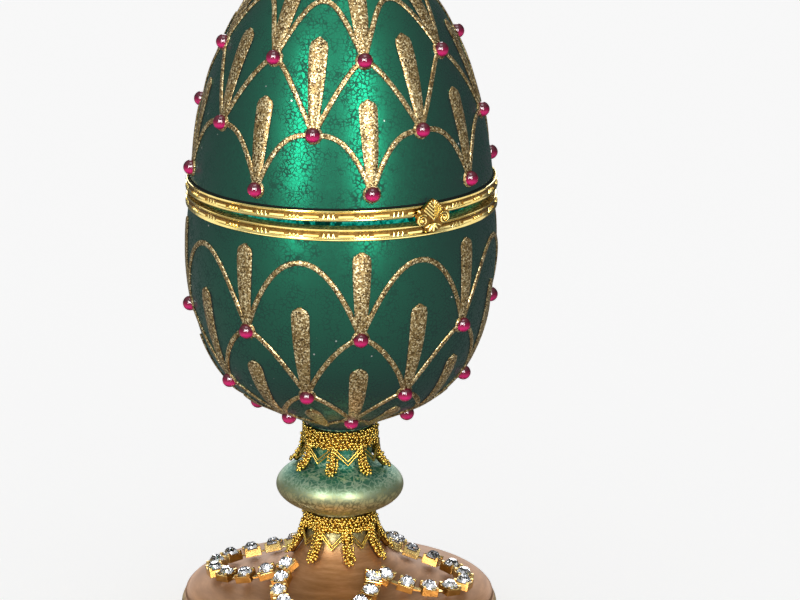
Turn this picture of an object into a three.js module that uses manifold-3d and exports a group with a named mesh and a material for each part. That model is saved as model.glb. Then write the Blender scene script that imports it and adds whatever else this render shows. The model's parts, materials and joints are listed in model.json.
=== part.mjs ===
// Egg-shaped trinket box: a hinged glass egg with gilt rims, standing on a knobbed glass foot.
// Millimetres, +Z up. The origin is the centre of the felt's underside, the clasp faces -Y and
// the hinge is at the back, along X. Angles round the egg are turned from the clasp towards +X.
import * as THREE from 'three';
import { mergeVertices } from 'three/addons/utils/BufferGeometryUtils.js';
import Module from 'manifold-3d';

const wasm = await Module();
wasm.setup();

// Driving dimensions

const GAP = 0.3;
const WALL = 2.2;
const SIDES = 32;
const COLUMNS = 8;
const COLUMN = (2 * Math.PI) / COLUMNS;

const FELT = { radius: 39.5, thickness: 1.1 };

const FOOT = { radius: 41.9, bottom: FELT.thickness + GAP, bulge: 5, crease: 9, shoulder: 11.8 };
const KNOB = { radius: 16.8, half: 7.45, centre: 39.4 };
const LOWER_NECK = 8.1;
const UPPER_NECK = 8.4;
const NECK_TOP = 56.6;

const BOWL = { radius: 40.3, equator: 106, depth: 44.7, power: 2, bluntness: 3.7, edge: 117.8 };
const UNDERSIDE_TOP = 65;
const RIM_TAPER = 0.9;

const LID = { radius: 39.45, base: 117.2, height: 67.8, power: 1.83, bluntness: 1.93 };

const RIM = { outer: 40.5, inner: 36.2, flange: 0.8, bowlTop: 119.2, bowlHeight: 3.1, lidHeight: 2.8 };
// Mouldings of the rims, from the lip up: step in from the outer radius and height above the bottom
const BOWL_MOULDING = [[0.1, 0], [0, 0.6], [0.35, 1.2], [0.3, 2.6], [0.2, RIM.bowlHeight]];
const LID_MOULDING = [[0.2, 0], [0, 0.6], [0.35, 1.1], [0.3, 2.3], [0.4, RIM.lidHeight]];
const HINGE_GAP = 0.55;
const AJAR = THREE.MathUtils.degToRad(1.1);
const HINGE = { y: 42.4, knuckle: 1.5, pin: 0.7, bore: 1.1, middle: 4.2, side: 3.4, play: 0.3, sides: 10 };
HINGE.pinSides = 8;
HINGE.root = 1;
HINGE.leaf = HINGE.y - RIM.outer + HINGE.root;
HINGE.leafY = HINGE.y - HINGE.leaf / 2;
HINGE.bowlLeaf = { low: 2.7, high: 0.5 };
HINGE.lidLeaf = 1.7;
HINGE.pinShort = 0.5;
HINGE.z = RIM.bowlTop + HINGE_GAP / 2;
const LID_RIM_BOTTOM = RIM.bowlTop + HINGE_GAP;
const LID_EDGE = LID_RIM_BOTTOM + RIM.flange + GAP;

const CLASP = { width: 10.4, height: 9, depth: 1.3, relief: 0.5, scroll: 2.1, scrollZ: -0.2, above: 0.6 };
// Raised forms on the clasp: foot and top radius and height on the plate
const LOZENGE = { foot: 2.5, top: 0.3, z: 1.8 };
const SCROLL = { foot: 1.6, top: 0.95 };
const LEAF = { foot: 1.65, top: 0.4, z: -2.5 };

const GLITTER = { lift: 0.45, thickness: 0.45, line: 1.4 };
const RUBY = { radius: 1.9, height: 1.5, lift: GLITTER.lift + GLITTER.thickness + GAP };

// Rows of the scale pattern, from the lowest up: height of the stones and exponent of the arches that
// rise from them. A row is set half a column off the one below it.
const LID_ROWS = [
  { z: 126.4, arch: 2.8, steps: 6, stones: 'lid_low' },
  { z: 141.1, arch: 1.6, steps: 6, stones: 'lid_middle' },
  { z: 158.8, arch: 2.2, steps: 6, stones: 'lid_high' },
];
const LID_PEAK = 172.5;
const BOWL_ROWS = [
  { z: 63.4, arch: 1.5, steps: 8, stones: 'bowl_low' },
  { z: 72.9, arch: 1.6, steps: 6, stones: 'bowl_middle' },
  { z: 90, arch: 2.1, steps: 6, stones: 'bowl_high' },
];
const BOWL_PEAK = 110;
// The bowl's rows are set a little to one side of the lid's
const BOWL_TURN = THREE.MathUtils.degToRad(-4);

const BRAID = { wall: 1.2, sides: 16, legs: 8, leg: 1.1, legSides: 5, root: 1 };
const UPPER_BRAID = { neck: UPPER_NECK, low: 51, high: 56.2, tipR: 12.7, tipZ: 45.9, turn: 0 };
const LOWER_BRAID = { neck: LOWER_NECK + GAP, low: 28.6, high: 32.4, tipR: 13.3, tipZ: 22.4 };
LOWER_BRAID.turn = COLUMN / 2;

const CHAIN = { cups: 38, inner: 15.8, outer: 35.6, bend: 0.12, cup: 4.4, height: 3.4, seat: 0.5 };
CHAIN.link = 1.4;
CHAIN.turn = THREE.MathUtils.degToRad(225);
CHAIN.linkLow = CHAIN.seat + 0.5;
CHAIN.linkHigh = CHAIN.seat + 1.6;

// Finishes

function paint(color, roughness, metalness) {
  return new THREE.MeshStandardMaterial({ color, roughness, metalness });
}

const GREEN_GLASS = paint(0x14583f, 0.35, 0.4);
const GILT = paint(0xd9a934, 0.2, 1);
const GLITTER_GOLD = paint(0xb08d3c, 0.5, 0.8);
const RUBY_GLASS = paint(0xb0103c, 0.1, 0);
const BRONZE_GLASS = paint(0x8a6544, 0.45, 0.4);
const BULLION = paint(0xc9951f, 0.35, 1);
const BLACK_FELT = paint(0x14120f, 1, 0);

// Radius of the glass at a height

function lidRadius(z) {
  const u = THREE.MathUtils.clamp((z - LID.base) / LID.height, 0, 1);
  return LID.radius * (1 - u ** LID.power) ** (1 / LID.bluntness);
}

function bowlCurve(z) {
  const u = (BOWL.equator - z) / BOWL.depth;
  return BOWL.radius * (1 - u ** BOWL.power) ** (1 / BOWL.bluntness);
}

function bowlRadius(z) {
  if (z > BOWL.equator) {
    return BOWL.radius - RIM_TAPER * ((z - BOWL.equator) / (BOWL.edge - BOWL.equator)) ** 2;
  }
  if (z > UNDERSIDE_TOP) {
    return bowlCurve(z);
  }
  const slope = (bowlCurve(UNDERSIDE_TOP) - UPPER_NECK) / (UNDERSIDE_TOP - NECK_TOP);
  return UPPER_NECK + slope * (z - NECK_TOP);
}

// Height of the foot's dome at a radius, by straight lines between its profile points
const DOME = [
  [FOOT.radius - 0.9, FOOT.crease],
  [40.4, 10.4],
  [38.5, FOOT.shoulder],
  [34, 12.7],
  [26, 14.3],
  [18, 17.1],
  [13, 20.5],
  [10, 24],
  [LOWER_NECK + GAP, 28.5],
];

function domeHeight(r) {
  const i = DOME.findIndex(([radius]) => radius <= r);
  const [r0, z0] = DOME[i - 1];
  const [r1, z1] = DOME[i];
  return z0 + ((z1 - z0) * (r - r0)) / (r1 - r0);
}

// Geometry helpers

const around = (turn, r, z) => new THREE.Vector3(r * Math.sin(turn), -r * Math.cos(turn), z);

function lathe(profile, sides = SIDES) {
  const points = profile.map(([r, z]) => new THREE.Vector2(r, z));
  return new THREE.LatheGeometry(points, sides).rotateX(Math.PI / 2);
}

// The outward normal of a turned surface, as its radial and upright parts
function normalOf(radiusAt, z) {
  const step = 0.05;
  const lean = (radiusAt(z + step) - radiusAt(z - step)) / (2 * step);
  return new THREE.Vector2(1, -lean).normalize();
}

function onGlass(radiusAt, turn, z, lift) {
  const n = normalOf(radiusAt, z);
  return around(turn, radiusAt(z) + lift * n.x, z + lift * n.y);
}

function inside(radiusAt, z) {
  const n = normalOf(radiusAt, z);
  return [radiusAt(z) - WALL * n.x, z - WALL * n.y];
}

function closedOnly(geometry) {
  const bare = geometry.clone();
  bare.deleteAttribute('normal');
  bare.deleteAttribute('uv');
  return mergeVertices(bare, 1e-4);
}

function solidOf(geometry) {
  const g = closedOnly(geometry);
  const mesh = { numProp: 3, vertProperties: g.attributes.position.array, triVerts: g.index.array };
  mesh.vertProperties = new Float32Array(mesh.vertProperties);
  mesh.triVerts = new Uint32Array(mesh.triVerts);
  return new wasm.Manifold(new wasm.Mesh(mesh));
}

function geometryOf(solid) {
  const mesh = solid.getMesh();
  const geometry = new THREE.BufferGeometry();
  geometry.setAttribute('position', new THREE.BufferAttribute(new Float32Array(mesh.vertProperties), 3));
  geometry.setIndex(new THREE.BufferAttribute(new Uint32Array(mesh.triVerts), 1));
  return geometry;
}

const fuse = (geometries) => geometryOf(geometries.map(solidOf).reduce((whole, piece) => whole.add(piece)));

function piece(name, geometry, material) {
  const mesh = new THREE.Mesh(geometry, material);
  mesh.name = name;
  return mesh;
}

// A straight round bar between two points
function bar(from, to, radius, sides) {
  const along = to.clone().sub(from);
  const geometry = new THREE.CylinderGeometry(radius, radius, along.length(), sides);
  const up = new THREE.Vector3(0, 1, 0);
  geometry.applyQuaternion(new THREE.Quaternion().setFromUnitVectors(up, along.clone().normalize()));
  const middle = from.clone().add(to).multiplyScalar(0.5);
  return geometry.translate(middle.x, middle.y, middle.z);
}

// Glass shells

function lidShell() {
  const outer = [0, 0.16, 0.32, 0.46, 0.59, 0.71, 0.81, 0.895, 0.965].map(
    (part) => LID_EDGE + part * (LID.base + LID.height - LID_EDGE),
  );
  const innerTop = LID.base + LID.height - WALL;
  const inner = outer.filter((_, i) => i % 2 === 0 && i < 8).map((z) => inside(lidRadius, z));
  const innerEdge = [lidRadius(LID_EDGE) - WALL, LID_EDGE];
  return lathe([
    [0, innerTop],
    ...inner.slice(1).reverse(),
    innerEdge,
    ...outer.map((z) => [lidRadius(z), z]),
    [0, LID.base + LID.height],
  ]);
}

function bowlShell() {
  const span = BOWL.edge - UNDERSIDE_TOP;
  const outer = [0, 0.03, 0.09, 0.19, 0.34, 0.54, 0.76, 1].map((part) => UNDERSIDE_TOP + part * span);
  const inner = outer.filter((_, i) => i % 2 === 0).map((z) => inside(bowlRadius, z));
  const innerEdge = [bowlRadius(BOWL.edge) - WALL, BOWL.edge];
  const floor = inside(bowlRadius, NECK_TOP + WALL);
  return lathe([
    [0, NECK_TOP],
    [UPPER_NECK, NECK_TOP],
    ...outer.map((z) => [bowlRadius(z), z]),
    innerEdge,
    ...inner.reverse(),
    floor,
    [0, floor[1]],
  ]);
}

// Gilt rims, each with its own side of the hinge

const onHinge = (x) => new THREE.Vector3(x, HINGE.y, HINGE.z);

function bowlRim() {
  const top = RIM.bowlTop;
  const bottom = top - RIM.bowlHeight;
  const skirt = bowlRadius(bottom) + GAP;
  const ring = lathe([
    [RIM.inner, top - RIM.flange],
    [skirt, top - RIM.flange],
    [skirt, bottom],
    ...BOWL_MOULDING.map(([step, height]) => [RIM.outer - step, bottom + height]),
    [RIM.inner, top],
    [RIM.inner, top - RIM.flange],
  ]);
  const reach = HINGE.middle / 2 + HINGE.play;
  const { low, high } = HINGE.bowlLeaf;
  const bars = [-1, 1].flatMap((side) => {
    const near = onHinge(side * reach);
    const far = onHinge(side * (reach + HINGE.side));
    const barrel = bar(near, far, HINGE.knuckle, HINGE.sides);
    const leaf = new THREE.BoxGeometry(HINGE.side, HINGE.leaf, low - high);
    leaf.translate(side * (reach + HINGE.side / 2), HINGE.leafY, top - (low + high) / 2);
    return [barrel, leaf];
  });
  const end = reach + HINGE.side - HINGE.pinShort;
  const pin = bar(onHinge(-end), onHinge(end), HINGE.pin, HINGE.pinSides);
  return fuse([ring, ...bars, pin]);
}

function lidRim() {
  const bottom = LID_RIM_BOTTOM;
  const top = bottom + RIM.lidHeight;
  const skirt = lidRadius(bottom) + GAP;
  const ring = lathe([
    [RIM.inner, bottom],
    ...LID_MOULDING.map(([step, height]) => [RIM.outer - step, bottom + height]),
    [skirt, top],
    [skirt, bottom + RIM.flange],
    [RIM.inner, bottom + RIM.flange],
    [RIM.inner, bottom],
  ]);
  const half = HINGE.middle / 2;
  const leaf = new THREE.BoxGeometry(HINGE.middle, HINGE.leaf, HINGE.lidLeaf);
  leaf.translate(0, HINGE.leafY, bottom + HINGE.lidLeaf / 2);
  const barrel = bar(onHinge(-half), onHinge(half), HINGE.knuckle, HINGE.sides);
  const bore = bar(onHinge(-HINGE.middle), onHinge(HINGE.middle), HINGE.bore, HINGE.pinSides);
  return geometryOf(solidOf(fuse([ring, leaf, barrel])).subtract(solidOf(bore)));
}

// Palmette clasp: a pointed shield with a raised lozenge, two scrolls and a leaf below

function claspBoss({ foot, top }, sides, x, z) {
  const tall = CLASP.depth + CLASP.relief;
  return new THREE.CylinderGeometry(top, foot, tall, sides).rotateX(Math.PI / 2).translate(x, z, tall / 2);
}

function claspPlate() {
  const { width, height, depth, scroll, scrollZ } = CLASP;
  const scrollX = width / 2 - scroll;
  const quarter = Math.PI / 2;
  const outline = new THREE.Shape();
  outline.moveTo(0, -height / 2);
  outline.lineTo(width * 0.22, -height * 0.4);
  outline.lineTo(width * 0.3, -height * 0.2);
  outline.absarc(scrollX, scrollZ, scroll, -quarter, quarter, false);
  outline.lineTo(width * 0.24, height * 0.3);
  outline.lineTo(0, height / 2);
  outline.lineTo(-width * 0.24, height * 0.3);
  outline.absarc(-scrollX, scrollZ, scroll, quarter, 3 * quarter, false);
  outline.lineTo(-width * 0.3, -height * 0.2);
  outline.lineTo(-width * 0.22, -height * 0.4);
  const plate = new THREE.ExtrudeGeometry(outline, { depth, bevelEnabled: false, curveSegments: 4 });
  const lozenge = claspBoss(LOZENGE, 4, 0, LOZENGE.z);
  const scrolls = [-scrollX, scrollX].map((x) => claspBoss(SCROLL, 8, x, scrollZ));
  const leaf = claspBoss(LEAF, 4, 0, LEAF.z);
  return fuse([plate, lozenge, ...scrolls, leaf]).rotateX(quarter);
}

// Knob and foot in one

function stand() {
  const arc = (neck) => Math.asin(Math.sqrt(1 - (neck / KNOB.radius) ** 2));
  const low = -arc(LOWER_NECK);
  const high = arc(UPPER_NECK);
  const steps = 7;
  const knob = Array.from({ length: steps + 1 }, (_, i) => {
    const angle = low + ((high - low) * i) / steps;
    return [KNOB.radius * Math.cos(angle), KNOB.centre + KNOB.half * Math.sin(angle)];
  });
  return lathe([
    [0, FOOT.bottom],
    [FOOT.radius - 2, FOOT.bottom],
    [FOOT.radius, FOOT.bulge],
    ...DOME,
    ...knob,
    [UPPER_NECK, NECK_TOP - GAP],
    [0, NECK_TOP - GAP],
  ]);
}

const feltPad = () => lathe([[0, 0], [FELT.radius, 0], [FELT.radius, FELT.thickness], [0, FELT.thickness]]);

// Braid: a thick band round a neck with looped legs that spread over the shoulder below it

function braid({ neck, low, high, tipR, tipZ, turn }) {
  const hole = neck + GAP;
  const skin = hole + BRAID.wall;
  const band = lathe([[hole, low], [skin, low], [skin, high], [hole, high], [hole, low]], BRAID.sides);
  const legs = Array.from({ length: BRAID.legs }, (_, i) => {
    const angle = turn + (i * 2 * Math.PI) / BRAID.legs;
    const root = around(angle, hole + BRAID.leg, low + BRAID.root);
    return bar(root, around(angle, tipR, tipZ), BRAID.leg, BRAID.legSides);
  });
  return fuse([band, ...legs]);
}

// Cup chain: one strip of square cups and narrow links, looped four times round the dome

class ChainRoute extends THREE.Curve {
  getPoint(t) {
    const turn = 2 * Math.PI * t - Math.PI / 4;
    const round = Math.hypot(Math.cos(2 * turn), CHAIN.bend) - CHAIN.bend;
    const r = CHAIN.inner + (CHAIN.outer - CHAIN.inner) * round;
    return around(turn + CHAIN.turn, r, domeHeight(r));
  }
}

function cupChain() {
  const route = new ChainRoute();
  route.arcLengthDivisions = 2000;
  const length = route.getLength();
  const pitch = length / CHAIN.cups;
  const stations = [];
  for (let i = 0; i < CHAIN.cups; i += 1) {
    const middle = (i + 0.5) * pitch;
    const cup = { middle, half: CHAIN.cup / 2, low: CHAIN.seat, high: CHAIN.seat + CHAIN.height };
    stations.push({ ...cup, s: middle - CHAIN.cup / 2 }, { ...cup, s: middle + CHAIN.cup / 2 });
    const s = middle + pitch / 2;
    stations.push({ middle: s, s, half: CHAIN.link / 2, low: CHAIN.linkLow, high: CHAIN.linkHigh });
  }
  stations.pop();
  const strip = new THREE.BoxGeometry(1, 1, 1, stations.length - 1, 1, 1);
  const place = strip.attributes.position;
  for (let i = 0; i < place.count; i += 1) {
    const at = stations[Math.round((place.getX(i) + 0.5) * (stations.length - 1))];
    const centre = route.getPointAt(at.middle / length);
    const r = Math.hypot(centre.x, centre.y);
    const fall = domeHeight(r - 1) - domeHeight(r + 1);
    const up = new THREE.Vector3((centre.x / r) * fall, (centre.y / r) * fall, 2).normalize();
    const along = route.getTangentAt(at.middle / length);
    along.addScaledVector(up, -along.dot(up)).normalize();
    const across = up.clone().cross(along);
    const p = centre.addScaledVector(along, at.s - at.middle);
    p.addScaledVector(across, 2 * at.half * place.getY(i));
    p.addScaledVector(up, place.getZ(i) > 0 ? at.high : at.low);
    place.setXYZ(i, p.x, p.y, p.z);
  }
  return strip;
}

// Glitter tracery: low three-sided beads laid on the glass, each row of arches one closed ring

class Arch extends THREE.Curve {
  constructor(radiusAt, row, peak) {
    super();
    this.radiusAt = radiusAt;
    this.row = row;
    this.peak = peak;
  }

  getPoint(t, target, lift = 0) {
    const side = 2 * (t - Math.floor(t)) - 1;
    const z = this.peak - (this.peak - this.row.z) * Math.abs(side) ** this.row.arch;
    return onGlass(this.radiusAt, t * COLUMN, z, lift);
  }
}

function archRing(radiusAt, row, peak, turn) {
  const arch = new Arch(radiusAt, row, peak);
  const ring = new THREE.TorusGeometry(1, 0.5, 3, COLUMNS * row.steps);
  const place = ring.attributes.position;
  const { uv } = ring.attributes;
  for (let i = 0; i < place.count; i += 1) {
    const station = Math.round(uv.getX(i) * COLUMNS * row.steps);
    const column = Math.floor(station / row.steps);
    const t = column + arch.getUtoTmapping((station % row.steps) / row.steps);
    const corner = 2 * Math.PI * uv.getY(i);
    const lift = GLITTER.lift + (GLITTER.thickness * (Math.cos(corner) + 0.5)) / 1.5;
    const p = arch.getPoint(t, null, lift);
    const out = arch.getPoint(t, null, lift + 1).sub(p);
    const along = arch.getPoint(t + 0.001).sub(arch.getPoint(t - 0.001)).normalize();
    p.addScaledVector(out.cross(along), (GLITTER.line * Math.sin(corner)) / Math.sqrt(3));
    place.setXYZ(i, p.x, p.y, p.z);
  }
  return ring.rotateZ(turn);
}

const rowTurn = (row, column) => (column + (row % 2 ? 0 : 0.5)) * COLUMN;

function tracery(radiusAt, rows, peak, start) {
  const rings = rows.map((row, k) => {
    const top = k + 1 < rows.length ? rows[k + 1].z : peak;
    return archRing(radiusAt, row, top, start + rowTurn(k, 0));
  });
  return fuse(rings);
}

function rubies(radiusAt, rows, start) {
  const { radius, height, lift } = RUBY;
  return rows.flatMap((row, k) =>
    Array.from({ length: COLUMNS }, (_, c) => {
      const turn = start + rowTurn(k, c);
      const seat = onGlass(radiusAt, turn, row.z, lift);
      const out = onGlass(radiusAt, turn, row.z, lift + 1).sub(seat);
      const dome = lathe([[0, 0], [radius, 0], [radius * 0.8, height * 0.65], [0, height]], 5);
      const stone = piece(`ruby_${row.stones}_${c + 1}`, dome, RUBY_GLASS);
      stone.position.copy(seat);
      stone.quaternion.setFromUnitVectors(new THREE.Vector3(0, 0, 1), out);
      return stone;
    }),
  );
}

// Assembly: the lid's pieces hang in a group that is turned a little open about the hinge

const base = new THREE.Group();
base.add(
  piece('felt_pad', feltPad(), BLACK_FELT),
  piece('stand', stand(), BRONZE_GLASS),
  piece('rhinestone_chain', cupChain(), GILT),
  piece('lower_braid', braid(LOWER_BRAID), BULLION),
  piece('upper_braid', braid(UPPER_BRAID), BULLION),
  piece('bowl_shell', bowlShell(), GREEN_GLASS),
  piece('bowl_tracery', tracery(bowlRadius, BOWL_ROWS, BOWL_PEAK, BOWL_TURN), GLITTER_GOLD),
  piece('bowl_rim', bowlRim(), GILT),
  ...rubies(bowlRadius, BOWL_ROWS, BOWL_TURN),
);

const lid = new THREE.Group();
lid.position.set(0, HINGE.y, HINGE.z);
lid.rotation.x = -AJAR;
const lidPieces = new THREE.Group();
lidPieces.position.set(0, -HINGE.y, -HINGE.z);
const clasp = piece('clasp', claspPlate(), GILT);
clasp.position.set(0, -(RIM.outer + GAP), RIM.bowlTop + CLASP.above);
lidPieces.add(
  piece('lid_shell', lidShell(), GREEN_GLASS),
  piece('lid_tracery', tracery(lidRadius, LID_ROWS, LID_PEAK, 0), GLITTER_GOLD),
  piece('lid_rim', lidRim(), GILT),
  clasp,
  ...rubies(lidRadius, LID_ROWS, 0),
);
lid.add(lidPieces);

const trinketBox = new THREE.Group();
trinketBox.add(base, lid);

export default trinketBox;
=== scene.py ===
# %% [markdown]
# An egg-shaped trinket box. A blown glass egg, lacquered green, opens on a hinge between two gilt
# rims. It stands on a knobbed glass foot with gold braid on its necks and a chain of cut stones
# on its dome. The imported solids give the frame: every piece below is made in the same place, in
# millimetres, and is scaled to metres when it is finished.

# %% Frame
import json
import math
import random

import bmesh
import bpy
from mathutils import Matrix, Vector

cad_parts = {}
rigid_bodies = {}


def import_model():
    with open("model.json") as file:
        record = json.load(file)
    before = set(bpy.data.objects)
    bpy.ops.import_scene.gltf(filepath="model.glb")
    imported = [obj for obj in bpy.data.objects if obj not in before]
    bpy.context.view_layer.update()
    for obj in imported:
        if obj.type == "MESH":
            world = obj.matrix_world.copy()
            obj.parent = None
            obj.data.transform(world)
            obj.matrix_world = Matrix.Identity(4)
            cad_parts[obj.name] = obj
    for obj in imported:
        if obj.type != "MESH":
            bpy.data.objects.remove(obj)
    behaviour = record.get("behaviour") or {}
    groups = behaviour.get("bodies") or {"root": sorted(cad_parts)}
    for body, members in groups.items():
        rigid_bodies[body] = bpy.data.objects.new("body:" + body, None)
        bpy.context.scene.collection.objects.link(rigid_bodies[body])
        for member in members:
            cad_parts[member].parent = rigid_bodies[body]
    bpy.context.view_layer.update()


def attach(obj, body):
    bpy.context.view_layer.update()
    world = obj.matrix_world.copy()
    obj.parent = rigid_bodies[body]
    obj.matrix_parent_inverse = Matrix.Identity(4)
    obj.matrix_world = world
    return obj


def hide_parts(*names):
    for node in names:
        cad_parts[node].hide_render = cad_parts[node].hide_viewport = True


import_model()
MM = 0.001
TURN = 2 * math.pi

# %% [markdown]
# The driving sizes of the box. The lid is drawn closed and level, and is tipped about the hinge by
# the small angle at which the photograph shows it resting on its clasp.

# %% Driving sizes in millimetres
WALL = 2.2
GLASS_GAP = 0.3
COLUMNS = 8
COLUMN = TURN / COLUMNS
AJAR = math.radians(1.1)
HINGE_Y = 42.4
HINGE_GAP = 0.55
BOWL_RIM_TOP = 119.2
LID_RIM_BOTTOM = BOWL_RIM_TOP + HINGE_GAP
HINGE_Z = BOWL_RIM_TOP + HINGE_GAP / 2
RIM_OUTER = 40.5
RIM_INNER = 36.2
FLANGE = 0.8
LID_RIM_TALL = 2.8
BOWL_EDGE = 117.8
LID_EDGE = LID_RIM_BOTTOM + FLANGE + GLASS_GAP
NECK_TOP = 56.6
UPPER_NECK = 8.4
LOWER_NECK = 8.1
print("hinge axis at y", HINGE_Y, "z", round(HINGE_Z, 3))

# %% [markdown]
# Each half of the egg is one formula for the radius at a height. An ellipse would be too pointed,
# so the powers are changed a little until the outline is as blunt as the real one. The bowl ends
# in a shallow cone that the stand's neck meets.

# %% Profiles of the glass
LID_TOP = 185.0
LID_FOOT = 117.2
LID_GIRTH = 39.45
LID_BLUNT = 1.83
LID_ROUND = 1.93
BELLY = 106
BELLY_GIRTH = 40.3
BELLY_DROP = 44.7
BELLY_ROUND = 3.7
RIM_TAPER = 0.9
CONE_TOP = 65
SLOPE_STEP = 0.05


def lid_radius(z):
    """Radius of the lid's outside at a height, a blunt half egg."""
    rise = min(max((z - LID_FOOT) / (LID_TOP - LID_FOOT), 0), 1)
    return LID_GIRTH * (1 - rise**LID_BLUNT) ** (1 / LID_ROUND)


def belly_radius(z):
    """Radius of the bowl's round belly below its widest level."""
    return BELLY_GIRTH * (1 - ((BELLY - z) / BELLY_DROP) ** 2) ** (1 / BELLY_ROUND)


def bowl_radius(z):
    """Radius of the bowl's outside: a slight taper to the rim, the belly, the cone below."""
    if z > BELLY:
        return BELLY_GIRTH - RIM_TAPER * ((z - BELLY) / (BOWL_EDGE - BELLY)) ** 2
    if z > CONE_TOP:
        return belly_radius(z)
    way = (z - NECK_TOP) / (CONE_TOP - NECK_TOP)
    return UPPER_NECK + (belly_radius(CONE_TOP) - UPPER_NECK) * way


def around(turn, r, z):
    """A point at an angle from the clasp (turning towards +X), a radius and a height."""
    return Vector((r * math.sin(turn), -r * math.cos(turn), z))


def out_of_glass(radius_at, z):
    """The outward normal of a turned surface, as its radial and upright parts."""
    lean = (radius_at(z + SLOPE_STEP) - radius_at(z - SLOPE_STEP)) / (2 * SLOPE_STEP)
    size = math.hypot(1, lean)
    return 1 / size, -lean / size


def on_glass(radius_at, turn, z, lift=0.0):
    """A point on the glass, or lifted off it along its normal."""
    n_r, n_z = out_of_glass(radius_at, z)
    return around(turn, radius_at(z) + lift * n_r, z + lift * n_z)


print("egg across:", 2 * BELLY_GIRTH, "mm at height", BELLY)

# %% [markdown]
# A few helpers do the same job for every piece. A turned piece is a profile spun round the upright
# axis. Small parts are made in a bmesh of their own and joined, because an operator on a small
# mesh is quick. A finished piece is scaled to metres, tipped with the lid if it belongs to it,
# shaded smooth across small angles, and tied to its CAD body and the solids it shows.

# %% Piece helpers
LID_TIP = (
    Matrix.Translation((0, HINGE_Y, HINGE_Z))
    @ Matrix.Rotation(-AJAR, 4, "X")
    @ Matrix.Translation((0, -HINGE_Y, -HINGE_Z))
)
lit_pieces = bpy.data.collections.new("lit_pieces")


def turned(profile, steps):
    """A bmesh made by spinning a profile of (radius, height) points round the upright axis."""
    bm = bmesh.new()
    points = [bm.verts.new((0, -r, z)) for r, z in profile]
    lines = [bm.edges.new(pair) for pair in zip(points, points[1:])]
    bmesh.ops.spin(
        bm, geom=points + lines, cent=(0, 0, 0), axis=(0, 0, 1), angle=TURN, steps=steps, use_merge=True
    )
    bmesh.ops.remove_doubles(bm, verts=bm.verts, dist=1e-4)
    bmesh.ops.recalc_face_normals(bm, faces=bm.faces)
    return bm


def join(bm, part):
    """Adds a part's mesh to a bmesh and lets the part go."""
    carrier = bpy.data.meshes.new("carrier")
    part.to_mesh(carrier)
    part.free()
    bm.from_mesh(carrier)
    bpy.data.meshes.remove(carrier)


def touching(verts):
    """The edges that touch a list of points, each once and in the same order every run."""
    return list(dict.fromkeys(e for v in verts for e in v.link_edges))


def paint(bm, index):
    """Gives every face of a bmesh the material of that index."""
    for face in bm.faces:
        face.material_index = index


def finish_piece(bm, name, body, materials, nodes=(), sharp=35):
    """Makes the object of a finished bmesh and ties it to the frame."""
    if body == "lid":
        bmesh.ops.transform(bm, matrix=LID_TIP, verts=bm.verts)
    bmesh.ops.scale(bm, vec=(MM, MM, MM), verts=bm.verts)
    mesh = bpy.data.meshes.new(name)
    bm.to_mesh(mesh)
    bm.free()
    for material in materials:
        mesh.materials.append(material)
    mesh.shade_smooth()
    mesh.set_sharp_from_angle(angle=math.radians(sharp))
    piece = bpy.data.objects.new(name, mesh)
    bpy.context.scene.collection.objects.link(piece)
    lit_pieces.objects.link(piece)
    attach(piece, body)
    if nodes:
        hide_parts(*nodes)
    triangles = sum(len(face.vertices) - 2 for face in mesh.polygons)
    print(f"{name}: {triangles} triangles")
    return piece


print("lid tipped by", round(math.degrees(AJAR), 2), "degrees")

# %% [markdown]
# Materials are small node trees round one shader. Constants go straight on the shader's sockets;
# only what varies over a surface is linked. Patterns read Object coordinates in metres, so a
# cell of a millimetre needs a scale near a thousand.

# %% Material helpers
def shader(name, **sockets):
    """A new material, its node tree and its shader, with constant socket values set."""
    material = bpy.data.materials.new(name)
    material.use_nodes = True
    principled = material.node_tree.nodes["Principled BSDF"]
    for socket, value in sockets.items():
        principled.inputs[socket.replace("_", " ")].default_value = value
    return material, material.node_tree, principled


def add(tree, kind, **settings):
    """A node with properties set by name and input values set by their label."""
    node = tree.nodes.new(kind)
    for key, value in settings.items():
        if key in node.inputs:
            node.inputs[key].default_value = value
        else:
            setattr(node, key, value)
    return node


def ramp(tree, source, *stops):
    """A colour ramp fed by a value, with (position, colour) stops."""
    node = tree.nodes.new("ShaderNodeValToRGB")
    while len(node.color_ramp.elements) < len(stops):
        node.color_ramp.elements.new(1.0)
    for element, (position, colour) in zip(node.color_ramp.elements, stops):
        element.position = position
        element.color = (*colour, 1)
    tree.links.new(source, node.inputs[0])
    return node.outputs[0]


def mixed(tree, factor, first, second):
    """Two colours mixed by a value."""
    node = add(tree, "ShaderNodeMix", data_type="RGBA")
    tree.links.new(factor, node.inputs[0])
    tree.links.new(first, node.inputs[6])
    tree.links.new(second, node.inputs[7])
    return node.outputs[2]


def calc(tree, operation, *values):
    """A maths node on numbers or on other nodes' outputs."""
    node = add(tree, "ShaderNodeMath", operation=operation)
    for socket, value in zip(node.inputs, values):
        if isinstance(value, (int, float)):
            socket.default_value = value
        else:
            tree.links.new(value, socket)
    return node.outputs[0]


def textured(tree, kind, vector=None, **settings):
    """A texture node that reads the piece's own place, or another vector."""
    node = add(tree, kind, **settings)
    if vector is None:
        vector = add(tree, "ShaderNodeTexCoord").outputs["Object"]
    tree.links.new(vector, node.inputs["Vector"])
    return node


def axes_of(tree):
    """The place on the piece as its X, Y and Z, in metres."""
    place = add(tree, "ShaderNodeTexCoord").outputs["Object"]
    axes = add(tree, "ShaderNodeSeparateXYZ")
    tree.links.new(place, axes.inputs[0])
    return axes.outputs


def bump(tree, principled, height, strength, distance):
    """Lets a value stand up from the surface."""
    node = add(tree, "ShaderNodeBump", Strength=strength, Distance=distance)
    tree.links.new(height, node.inputs["Height"])
    tree.links.new(node.outputs[0], principled.inputs["Normal"])


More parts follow.
